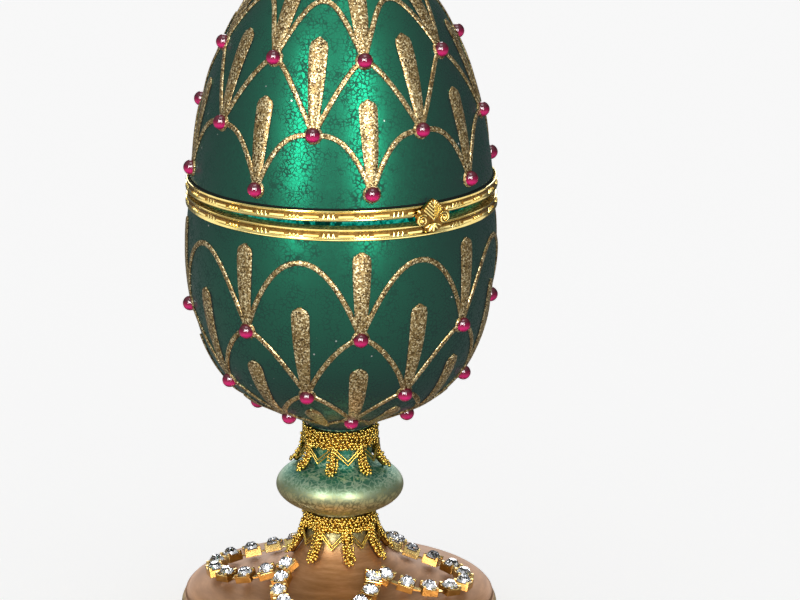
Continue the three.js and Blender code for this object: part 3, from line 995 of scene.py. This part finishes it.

# %% [markdown]
# Each moulding is a closed section, written as radii and heights from the face where the rims
# meet. The wall of the channel is given the shaded gilt, a painted shade, so the stamped repeat
# stands out from it, and the flat face that the other rim rests on is granular.

# %% Rims
RIM_STEPS = 168
GLASS_SEAT = 39.95
CHANNEL_WALL = (40.0, 40.14)
BOWL_SECTION = [
    (RIM_INNER, -FLANGE), (GLASS_SEAT, -FLANGE), (GLASS_SEAT, -3.1), (40.3, -3.1), (40.48, -2.9),
    (RIM_OUTER, -2.55), (40.42, -2.35), (40.16, -2.15), (40.1, -2.0), (40.1, -0.7), (40.18, -0.55),
    (40.36, -0.4), (40.38, -0.22), (40.25, -0.05), (40.0, 0.0), (RIM_INNER + 0.2, 0.0),
    (RIM_INNER, -0.15), (RIM_INNER, -FLANGE),
]
LID_SECTION = [
    (RIM_INNER, 0.15), (RIM_INNER + 0.2, 0.0), (40.1, 0.0), (40.4, 0.1), (RIM_OUTER, 0.35), (40.42, 0.6),
    (40.16, 0.8), (40.1, 0.95), (40.1, 2.1), (40.18, 2.25), (40.34, 2.4), (40.34, 2.6), (40.24, 2.76),
    (40.05, LID_RIM_TALL), (GLASS_SEAT, 2.7), (GLASS_SEAT, FLANGE), (RIM_INNER, FLANGE), (RIM_INNER, 0.15),
]


def moulding(section, level, facing):
    """A turned rim at a level, whose resting face looks up (1) or down (-1)."""
    bm = turned([(r, level + z) for r, z in section], RIM_STEPS)
    for face in bm.faces:
        middle = face.calc_center_median()
        r = math.hypot(middle.x, middle.y)
        if face.normal.z * facing > 0.9 and r < 40 and face.calc_area() > 0.5:
            face.material_index = 1
        elif CHANNEL_WALL[0] < r < CHANNEL_WALL[1] and abs(face.normal.z) < 0.3:
            # The channel's wall takes the darkened gilt, painted shade in the sunk channel.
            face.material_index = 2
    return bm


bm = moulding(BOWL_SECTION, BOWL_RIM_TOP, 1)
stamp_channel(bm, BOWL_RIM_TOP - 2.25)
for side in (-1, 1):
    near, far = sorted((side * SIDE_BARREL[0], side * SIDE_BARREL[1]))
    knuckle(bm, near, far, BARREL)
    leaf(bm, near, far, BOWL_RIM_TOP - 2.7, BOWL_RIM_TOP - 0.5)
knuckle(bm, -PIN_HALF, PIN_HALF, PIN)
finish_piece(bm, "bowl_rim_gilt", "base", [GILT, FROSTED, SHADED_GILT], ["bowl_rim"])

bm = moulding(LID_SECTION, LID_RIM_BOTTOM, -1)
stamp_channel(bm, LID_RIM_BOTTOM + 0.7)
knuckle(bm, -MIDDLE_BARREL, MIDDLE_BARREL, BARREL)
leaf(bm, -MIDDLE_BARREL, MIDDLE_BARREL, LID_RIM_BOTTOM, LID_RIM_BOTTOM + 1.7)
finish_piece(bm, "lid_rim_gilt", "lid", [GILT, FROSTED, SHADED_GILT], ["lid_rim"])

# %% [markdown]
# The clasp is a cast palmette: a lozenge of nested chevrons above, a scroll with a boss to each
# side, and a husk of five leaves below. Sculpting it would take longer than drawing it: the plate
# is one face cut to the outline and extruded, in the shaded gilt that paints shade behind the relief,
# and the relief is built on its face from straight and bent round bars and flattened balls, in
# polished gilt.

# %% Bars of the relief
ROD_SIDES = 8


def rod(bm, start, end, radius):
    """A straight round bar between two points."""
    axis = end - start
    turn = axis.to_track_quat("Z", "Y").to_matrix().to_4x4()
    spot = Matrix.Translation((start + end) / 2) @ turn
    bmesh.ops.create_cone(
        bm, cap_ends=True, segments=ROD_SIDES, radius1=radius, radius2=radius, depth=axis.length,
        matrix=spot,
    )


def bent_rod(bm, points, radius):
    """Short bars with a ball at every joint, along a list of points."""
    for start, end in zip(points, points[1:]):
        rod(bm, start, end, radius)
    for point in points:
        spot = Matrix.Translation(point)
        bmesh.ops.create_uvsphere(bm, u_segments=ROD_SIDES, v_segments=6, radius=radius, matrix=spot)


print("sides of a round bar:", ROD_SIDES)

# %% Clasp plate
CLASP_TALL = 9.0
CLASP_FACE = -(RIM_OUTER + 0.3)
CLASP_MIDDLE = BOWL_RIM_TOP + 0.6
PLATE = 0.7


def clasp_spot(x, z, out=0.0):
    """A point on the clasp, from its middle, or standing out from its back."""
    return Vector((x, CLASP_FACE - out, CLASP_MIDDLE + z))


def clasp_outline():
    """The right half of the plate's outline, from the foot of the husk up to the lozenge's tip."""
    scroll = [(3.1 + 2.0 * math.cos(a), -0.2 + 2.0 * math.sin(a)) for a in (-1.5, -0.9, -0.3, 0.3, 0.9, 1.5)]
    foot, tip = (0, -CLASP_TALL / 2), (0, CLASP_TALL / 2)
    return [foot, (1.9, -3.8), (3.0, -2.4), *scroll, (2.6, 2.4), (1.5, 3.6), tip]


bm = bmesh.new()
half = clasp_outline()
outline = half + [(-x, z) for x, z in half[-2:0:-1]]
back = bm.faces.new([bm.verts.new(clasp_spot(x, z)) for x, z in outline])
front = bmesh.ops.extrude_face_region(bm, geom=[back])["geom"]
front_points = [v for v in front if isinstance(v, bmesh.types.BMVert)]
bmesh.ops.translate(bm, vec=(0, -PLATE, 0), verts=front_points)
bmesh.ops.recalc_face_normals(bm, faces=bm.faces)
# The plate takes the darkened gilt, painted shade behind the relief.
paint(bm, 1)
print("clasp outline:", len(outline), "points")

# %% Clasp relief
CHEVRONS = 5
CHEVRON_STEP = 1.04
CHEVRON_BAR = 0.26
LOZENGE_FOOT = -0.9
LOZENGE_TIP = 4.4
SCROLL = (3.3, -0.9)
SCROLL_BAR = 0.25
SCROLL_STEPS = 21
LEAF_FOOT = -1.9

relief = bmesh.new()
for k in range(CHEVRONS):
    foot_z = LOZENGE_FOOT + CHEVRON_STEP * k
    reach = (LOZENGE_TIP - foot_z) / 2
    ends = [clasp_spot(side * reach, foot_z + reach, PLATE + 0.05) for side in (-1, 1)]
    bent_rod(relief, [ends[0], clasp_spot(0, foot_z, PLATE + 0.4), ends[1]], CHEVRON_BAR)
for side in (-1, 1):
    curl = []
    for k in range(SCROLL_STEPS):
        angle = 2.3 - 0.5 * k
        size = 1.6 - 0.055 * k
        x, z = SCROLL[0] + size * math.cos(angle), SCROLL[1] + size * math.sin(angle)
        curl.append(clasp_spot(side * x, z, PLATE + 0.15))
    bent_rod(relief, curl, SCROLL_BAR)
    boss = Matrix.Translation(clasp_spot(side * SCROLL[0], SCROLL[1], PLATE + 0.25))
    bmesh.ops.create_uvsphere(relief, u_segments=12, v_segments=8, radius=0.4, matrix=boss)
    nub = Matrix.Translation(clasp_spot(side * 4.2, 1.5, PLATE)) @ Matrix.Rotation(side * 0.6, 4, "Y")
    oval = nub @ Matrix.Diagonal((0.8, 1, 1.4, 1))
    bmesh.ops.create_uvsphere(relief, u_segments=10, v_segments=8, radius=0.5, matrix=oval)
for lean in (-1.2, -0.6, 0, 0.6, 1.2):
    husk = Matrix.Translation(clasp_spot(0, LEAF_FOOT, PLATE + 0.1)) @ Matrix.Rotation(-lean, 4, "Y")
    blade = husk @ Matrix.Translation((0, 0, -1.3)) @ Matrix.Diagonal((0.4, 0.5, 1.25, 1))
    bmesh.ops.create_uvsphere(relief, u_segments=12, v_segments=8, radius=1, matrix=blade)
join(bm, relief)
finish_piece(bm, "palmette_clasp", "lid", [GILT, SHADED_GILT], ["clasp"])

# %% [markdown]
# The braids are bullion: fine gilt wire wound into soft coils, plaited into a band with looped
# legs, with a smooth double wire run in a zigzag between them. Up close a coil reads as a string
# of small bright grains, so a strand is a line of balls of few faces, each a little out of its
# place. Four strands wave up and down the band and cross each other over a dark core, a body in
# the shaded gilt put there as painted shade, so the gaps between the grains fall dark.

# %% Bullion grains
GRAIN = 0.44
GRAIN_STEP = 0.9
shake = random.Random(5)


def radial(p):
    """Straight out from the axis."""
    return Vector((p.x, p.y, 0)).normalized()


def aslant(p):
    """Out and up, away from a sloping leg."""
    return (radial(p) + Vector((0, 0, 0.9))).normalized()


def grains(bm, points, outward, columns):
    """Small grains of coiled wire in columns along a path, a little out of line."""
    carried = 0.0
    stretch = bmesh.new()
    for start, end in zip(points, points[1:]):
        step = end - start
        along = step.normalized()
        while carried < step.length:
            here = start + along * carried
            out = outward(here)
            across = along.cross(out).normalized()
            for column in columns:
                slip = along * shake.uniform(-0.2, 0.2) + out * shake.uniform(-0.15, 0.25)
                spot = Matrix.Translation(here + across * (column + shake.uniform(-0.15, 0.15)) + slip)
                size = GRAIN * shake.uniform(0.8, 1.15)
                bmesh.ops.create_uvsphere(stretch, u_segments=8, v_segments=5, radius=size, matrix=spot)
            carried += GRAIN_STEP
        carried -= step.length
    join(bm, stretch)


print("grain across:", 2 * GRAIN, "mm")

# %% Braid
STRANDS = 4
LOOPS = 24
RING_STEPS = 12 * LOOPS
LEGS = 8
LEG_TURN = TURN / LEGS
SHADE_CORE = 0.8
LEG_COLUMNS = (-0.45, 0.35)
WIRE = 0.23
WIRE_SHIFTS = (0.0, 1.05)


def braid_shade_core(neck, low, high, leg_line, turn):
    """The dark body under the grains, put there as painted shade for the gaps between them: a band and eight
    legs.
    """
    band = [(neck, low + 0.2), (neck + SHADE_CORE, low + 0.4), (neck + SHADE_CORE, high - 0.4), (neck, high - 0.2)]
    bm = turned(band, 48)
    for k in range(LEGS):
        shade_core = bmesh.new()
        bent_rod(shade_core, [around(turn + k * LEG_TURN, r - 0.2, z - 0.2) for r, z in leg_line[:-2]], SHADE_CORE)
        join(bm, shade_core)
    paint(bm, 1)
    return bm


def strand_ring(neck, low, high, turn, strand):
    """The way of one strand, waving up and down the band."""
    ring = []
    for k in range(RING_STEPS + 1):
        angle = turn + TURN * k / RING_STEPS
        wave = LOOPS / 2 * angle + strand * TURN / STRANDS
        z = (low + high) / 2 + ((high - low) / 2 - 0.35) * math.sin(wave)
        ring.append(around(angle, neck + 1.05 + 0.25 * math.cos(2 * wave + strand), z))
    return ring


def leg_loop(leg_line, angle):
    """The way down one side of a leg, round its end and up the other side."""
    loop = []
    for side, way in ((-1, leg_line), (1, leg_line[::-1])):
        for r, z in way:
            part = (z - leg_line[0][1]) / (leg_line[-1][1] - leg_line[0][1])
            bulge = 0.7 + 0.35 * part
            close = math.sqrt(max(1 - (max(part - 0.8, 0) / 0.2) ** 2, 0))
            loop.append(around(angle + side * bulge * close / r, r + 0.3, z + 0.3))
    return loop


def braid(neck, low, high, leg_line, turn, trough):
    """A grained band round a neck, looped legs along leg_line and a zigzag of double wire."""
    bm = braid_shade_core(neck, low, high, leg_line, turn)
    for strand in range(STRANDS):
        grains(bm, strand_ring(neck, low, high, turn, strand), radial, (0,))
    for k in range(LEGS):
        angle = turn + k * LEG_TURN
        grains(bm, leg_loop(leg_line, angle), aslant, LEG_COLUMNS)
        grains(bm, [around(angle, r + 0.6, z + 0.6) for r, z in leg_line[:-3]], aslant, (0,))
        wires = bmesh.new()
        for shift in WIRE_SHIFTS:
            ends = [around(angle + i * LEG_TURN, neck + 1.9, low + 1.2 - shift) for i in (0, 1)]
            deep = around(angle + LEG_TURN / 2, trough[0], trough[1] + 0.2 - shift)
            bent_rod(wires, [ends[0], deep, ends[1]], WIRE)
        join(bm, wires)
    return bm


print("legs on a braid:", LEGS)

# %% Upper and lower braid
UPPER_BAND = (51.0, 56.3)
LOWER_BAND = (28.0, 32.6)
UPPER_TROUGH = (10.6, 48.2)
LOWER_TROUGH = (10.7, 24.9)
upper_leg = smooth_line([(9.6, 51.8), (9.8, 49.6), (10.4, 47.7), (11.4, 46.3), (12.9, 45.0)], 3)
lower_leg = smooth_line([(9.4, 29.2), (10.0, 26.8), (11.0, 24.6), (12.4, 22.6), (14.0, 20.9)], 3)
bm = braid(UPPER_NECK, *UPPER_BAND, upper_leg, 0, UPPER_TROUGH)
finish_piece(bm, "upper_bullion", "base", [BULLION, SHADED_GILT], ["upper_braid"], sharp=60)
bm = braid(LOWER_NECK, *LOWER_BAND, lower_leg, COLUMN / 2, LOWER_TROUGH)
finish_piece(bm, "lower_bullion", "base", [BULLION, SHADED_GILT], ["lower_braid"], sharp=60)

# %% [markdown]
# The cup chain lies on the dome in four loops. The route is a four-lobed curve round the axis,
# and its length is measured along the dome, so the cups keep an even pitch as they do on a real
# chain. A Curve modifier could bend a straight chain along it, but it would bend the cups too.

# %% Chain route
CUPS = 38
CHAIN_INNER = 15.8
CHAIN_OUTER = 35.6
CHAIN_BEND = 0.12
CHAIN_TURN = math.radians(225)
CHAIN_SEAT = 0.15
ROUTE_STEPS = 2400


def chain_point(t):
    """A point of the chain's route on the dome, at a share of the way round."""
    turn = TURN * t - math.pi / 4
    swell = math.hypot(math.cos(2 * turn), CHAIN_BEND) - CHAIN_BEND
    r = CHAIN_INNER + (CHAIN_OUTER - CHAIN_INNER) * swell
    return around(turn + CHAIN_TURN, r, dome_height(r))


route = [chain_point(k / ROUTE_STEPS) for k in range(ROUTE_STEPS + 1)]
lengths = [0.0]
for a, b in zip(route, route[1:]):
    lengths.append(lengths[-1] + (b - a).length)
pitch = lengths[-1] / CUPS


def chain_seat(s):
    """The frame of a cup at a length along the chain: X along it, Z away from the dome."""
    k = next(i for i, length in enumerate(lengths) if length >= s)
    k = min(max(k, 1), len(route) - 2)
    here = route[k]
    r = math.hypot(here.x, here.y)
    fall = (dome_height(r - 1) - dome_height(r + 1)) / 2
    up = Vector((here.x / r * fall, here.y / r * fall, 1)).normalized()
    along = route[k + 1] - route[k - 1]
    along = (along - up * along.dot(up)).normalized()
    basis = Matrix((along, up.cross(along), up)).transposed().to_4x4()
    return Matrix.Translation(here + up * CHAIN_SEAT) @ basis


seats = [chain_seat((i + 0.5) * pitch) for i in range(CUPS)]
links = [chain_seat((i + 1) * pitch) for i in range(CUPS - 1)]
print("chain length", round(lengths[-1], 1), "mm, pitch", round(pitch, 2), "mm")

# %% [markdown]
# Each cup is a small square box of thin brass, with a claw at each corner bent over the stone.
# Thin walls matter: a solid block would show gold through the clear stone. The cups are hidden
# from the light that others scatter and mirror, so they leave no bright pools on the foot.

# %% Cups and links
CUP = 4.4
CUP_FLOOR = 0.7
CUP_WALL = 0.35
WALL_TALL = 1.9
CLAW = 0.85
CLAW_SPOT = 1.75
CLAW_TALL = 2.55
LINK_RISE = 0.6
LINK_WIDE = 1.3
LINK_THICK = 0.4


def box(bm, spot, middle, size):
    """A block with its middle at a place in a frame."""
    place = spot @ Matrix.Translation(middle) @ Matrix.Diagonal((*size, 1))
    bmesh.ops.create_cube(bm, size=1, matrix=place)


def make_cup(seat):
    """A cup: a floor plate, four walls and a claw at each corner."""
    cup = bmesh.new()
    box(cup, seat, (0, 0, CUP_FLOOR / 2), (CUP - 0.2, CUP - 0.2, CUP_FLOOR))
    for quarter in range(4):
        side = seat @ Matrix.Rotation(quarter * math.pi / 2, 4, "Z")
        box(cup, side, (0, (CUP - CUP_WALL) / 2, WALL_TALL / 2), (CUP, CUP_WALL, WALL_TALL))
        box(cup, side, (CLAW_SPOT, CLAW_SPOT, CLAW_TALL / 2), (CLAW, CLAW, CLAW_TALL))
    bmesh.ops.bevel(
        cup, geom=cup.edges[:], offset=0.1, affect="EDGES", segments=1, profile=0.5, material=-1,
        clamp_overlap=True,
    )
    return cup


bm = bmesh.new()
for seat in seats:
    join(bm, make_cup(seat))
for link in links:
    box(bm, link, (0, 0, LINK_RISE), (pitch - CUP + 0.6, LINK_WIDE, LINK_THICK))
bmesh.ops.recalc_face_normals(bm, faces=bm.faces)
chain_cups = finish_piece(bm, "chain_cups", "base", [CUP_GILT], ["rhinestone_chain"])
chain_cups.visible_diffuse = False
chain_cups.visible_glossy = False

# %% [markdown]
# A stone is cut with a flat table, a ring of crown facets and a pointed back. Two circles bridged
# together give the crown, and a cone the back. A thin foil lies close under the back and throws
# the light out again, as the silvering of such a stone does.

# %% Stones and foils
GIRDLE = 2.2
STONE = 2.1
STONE_SIDES = 16
CROWN = 1.3
TABLE = 1.05
PAVILION = 1.4
CULET = 0.25
FOIL_GAP = 0.06
FOIL_THICK = 0.04


def make_stone(seat):
    """A chaton: a flat table, a ring of crown facets, a girdle and a pointed pavilion."""
    stone = bmesh.new()
    level = seat @ Matrix.Translation((0, 0, GIRDLE))
    girdle = bmesh.ops.create_circle(stone, segments=STONE_SIDES, radius=STONE, matrix=level)["verts"]
    rim = touching(girdle)
    raised = level @ Matrix.Translation((0, 0, CROWN))
    table = bmesh.ops.create_circle(stone, segments=8, radius=TABLE, cap_ends=True, matrix=raised)["verts"]
    bmesh.ops.bridge_loops(stone, edges=rim + touching(table))
    point = level @ Matrix.Translation((0, 0, -PAVILION / 2))
    bmesh.ops.create_cone(
        stone, segments=STONE_SIDES, radius1=CULET, radius2=STONE, depth=PAVILION, cap_ends=False,
        matrix=point,
    )
    bmesh.ops.remove_doubles(stone, verts=stone.verts, dist=1e-3)
    bmesh.ops.holes_fill(stone, edges=stone.edges, sides=STONE_SIDES)
    bmesh.ops.recalc_face_normals(stone, faces=stone.faces)
    return stone


bm = bmesh.new()
for seat in seats:
    join(bm, make_stone(seat))
finish_piece(bm, "chain_stones", "base", [CRYSTAL], sharp=5)

bm = bmesh.new()
for seat in seats:
    spot = seat @ Matrix.Translation((0, 0, GIRDLE - PAVILION / 2 - FOIL_GAP))
    bmesh.ops.create_cone(
        bm, cap_ends=False, segments=STONE_SIDES, radius1=CULET + 0.02, radius2=STONE + 0.03,
        depth=PAVILION, matrix=spot,
    )
bmesh.ops.solidify(bm, geom=bm.faces, thickness=FOIL_THICK)
bmesh.ops.recalc_face_normals(bm, faces=bm.faces)
finish_piece(bm, "chain_foils", "base", [FOIL], sharp=5)

# %% [markdown]
# The stage is a pale floor that glows a little, so it stays even and light without a lamp of its
# own, and is hidden from gloss, so the egg doesn't mirror it.

# %% Floor
FLOOR_HALF = 6

bm = bmesh.new()
bmesh.ops.create_grid(bm, x_segments=1, y_segments=1, size=FLOOR_HALF)
ground_mesh = bpy.data.meshes.new("pale_floor")
bm.to_mesh(ground_mesh)
bm.free()
PALE, *_ = shader(
    "pale_floor", Base_Color=(0.95, 0.95, 0.95, 1), Roughness=0.9,
    Emission_Color=(1, 1, 1, 1), Emission_Strength=0.6,
)
ground_mesh.materials.append(PALE)
ground = bpy.data.objects.new("pale_floor", ground_mesh)
bpy.context.scene.collection.objects.link(ground)
ground.visible_glossy = False
print("floor half width:", FLOOR_HALF, "m")

# %% [markdown]
# Two tall softboxes stand left and right of the camera and draw the two upright streaks down the
# egg; one above and one behind fill in. Polished gold only looks like gold when it mirrors
# something white, and a studio sets white cards round it for that. Here light linking keeps each
# card to the pieces it is meant for: cards at the sides and on the table for the gilt, one low in
# front for the glitter, one behind for the stand, and a square light for the rubies.

# %% Softboxes and cards
EGG_MIDDLE = Vector((0, 0, 0.11))


def light_group(name, pieces):
    """A collection of pieces that a light can be kept to."""
    group = bpy.data.collections.new(name)
    for piece in pieces:
        group.objects.link(bpy.data.objects[piece])
    return group


def softbox(name, place, size, power, lit):
    """A rectangular light at an angle aside from the camera, a distance and a height, turned to the egg."""
    aside, distance, height = place
    spot = around(VIEW_TURN + math.radians(aside), distance, height)
    light = bpy.data.lights.new(name, "AREA")
    light.shape = "RECTANGLE"
    light.size, light.size_y = size
    light.energy = power
    lamp = bpy.data.objects.new(name, light)
    facing = (spot - EGG_MIDDLE).to_track_quat("Z", "Y").to_matrix().to_4x4()
    lamp.matrix_world = Matrix.Translation(spot) @ facing
    lamp.light_linking.receiver_collection = lit
    bpy.context.scene.collection.objects.link(lamp)
    return lamp


names = [piece.name for piece in lit_pieces.objects]
gilt_pieces = light_group("gilt_pieces", ["bowl_rim_gilt", "lid_rim_gilt", "palmette_clasp", "chain_cups"])
rubies = light_group("rubies", [name for name in names if "rubies" in name])
glitter_pieces = light_group("glitter_pieces", ["lid_glitter", "bowl_glitter"])
stand_alone = light_group("stand_alone", ["stand_glass"])
others = light_group("others", [name for name in names if name != "stand_glass"])

softbox("left_softbox", (-33, 1.3, 0.62), (0.26, 1.1), 15.2, lit_pieces)
softbox("right_softbox", (19, 1.3, 0.62), (0.28, 1.1), 17, lit_pieces)
softbox("top_softbox", (0, 0.25, 1.7), (0.9, 0.9), 8, lit_pieces)
softbox("rear_softbox", (180, 1.2, 0.8), (0.5, 1.0), 8, others)
softbox("left_card", (-105, 1.0, 0.2), (0.9, 0.9), 2.4, gilt_pieces)
softbox("right_card", (105, 1.0, 0.2), (0.9, 0.9), 2.4, gilt_pieces)
softbox("ruby_light", (-8, 1.1, 0.6), (0.5, 0.5), 20, rubies)
softbox("low_card", (0, 1.2, 0.02), (0.7, 0.4), 5, glitter_pieces)
softbox("back_card", (180, 0.9, 0.2), (1.6, 0.5), 3.4, stand_alone)
table_card = softbox("table_card", (0, 0.55, 0.002), (1.7, 0.8), 6, gilt_pieces)
face_up = Matrix.Rotation(VIEW_TURN, 4, "Z") @ Matrix.Rotation(math.pi, 4, "X")
table_card.matrix_world = Matrix.Translation(table_card.location) @ face_up

# %% [markdown]
# The world is white to the camera, dim where it lights the floor, and a graded room where the gloss
# mirrors it: bright overhead, dull at eye level and darker behind the egg than in front, as a
# studio is, so the egg's edges fall off to a bluish grey.

# %% World
FRONT_SHARE = 0.45
EVEN_SHARE = 0.64
BRIGHT_SIDE = math.radians(-20)

world = bpy.data.worlds.new("studio")
bpy.context.scene.world = world
world.use_nodes = True
tree = world.node_tree
path = add(tree, "ShaderNodeLightPath")
direction = add(tree, "ShaderNodeTexCoord").outputs["Generated"]
axes = add(tree, "ShaderNodeSeparateXYZ")
tree.links.new(direction, axes.inputs[0])
rise = calc(tree, "MULTIPLY_ADD", axes.outputs[2], 0.5, 0.5)
room = ramp(
    tree, rise,
    (0.0, (0.16, 0.16, 0.16)), (0.085, (0.3, 0.3, 0.3)), (0.28, (0.55, 0.56, 0.56)),
    (0.38, (0.5, 0.52, 0.53)), (0.5, (0.26, 0.29, 0.31)), (0.7, (0.5, 0.53, 0.56)), (0.9, (1, 1, 1)),
)
towards = add(tree, "ShaderNodeVectorMath", operation="DOT_PRODUCT")
tree.links.new(direction, towards.inputs[0])
towards.inputs[1].default_value = around(VIEW_TURN + BRIGHT_SIDE, 1, 0)
falloff = calc(tree, "MULTIPLY_ADD", towards.outputs["Value"], FRONT_SHARE, EVEN_SHARE)
mirrored = add(tree, "ShaderNodeVectorMath", operation="SCALE")
tree.links.new(room, mirrored.inputs[0])
tree.links.new(falloff, mirrored.inputs["Scale"])
dim = add(tree, "ShaderNodeRGB")
dim.outputs[0].default_value = (0.35, 0.35, 0.35, 1)
white = add(tree, "ShaderNodeRGB")
white.outputs[0].default_value = (1, 1, 1, 1)
colour = mixed(tree, path.outputs["Is Glossy Ray"], dim.outputs[0], mirrored.outputs[0])
colour = mixed(tree, path.outputs["Is Camera Ray"], colour, white.outputs[0])
tree.links.new(colour, tree.nodes["Background"].inputs[0])
bpy.context.scene.view_settings.view_transform = "Standard"
print("world:", world.name)
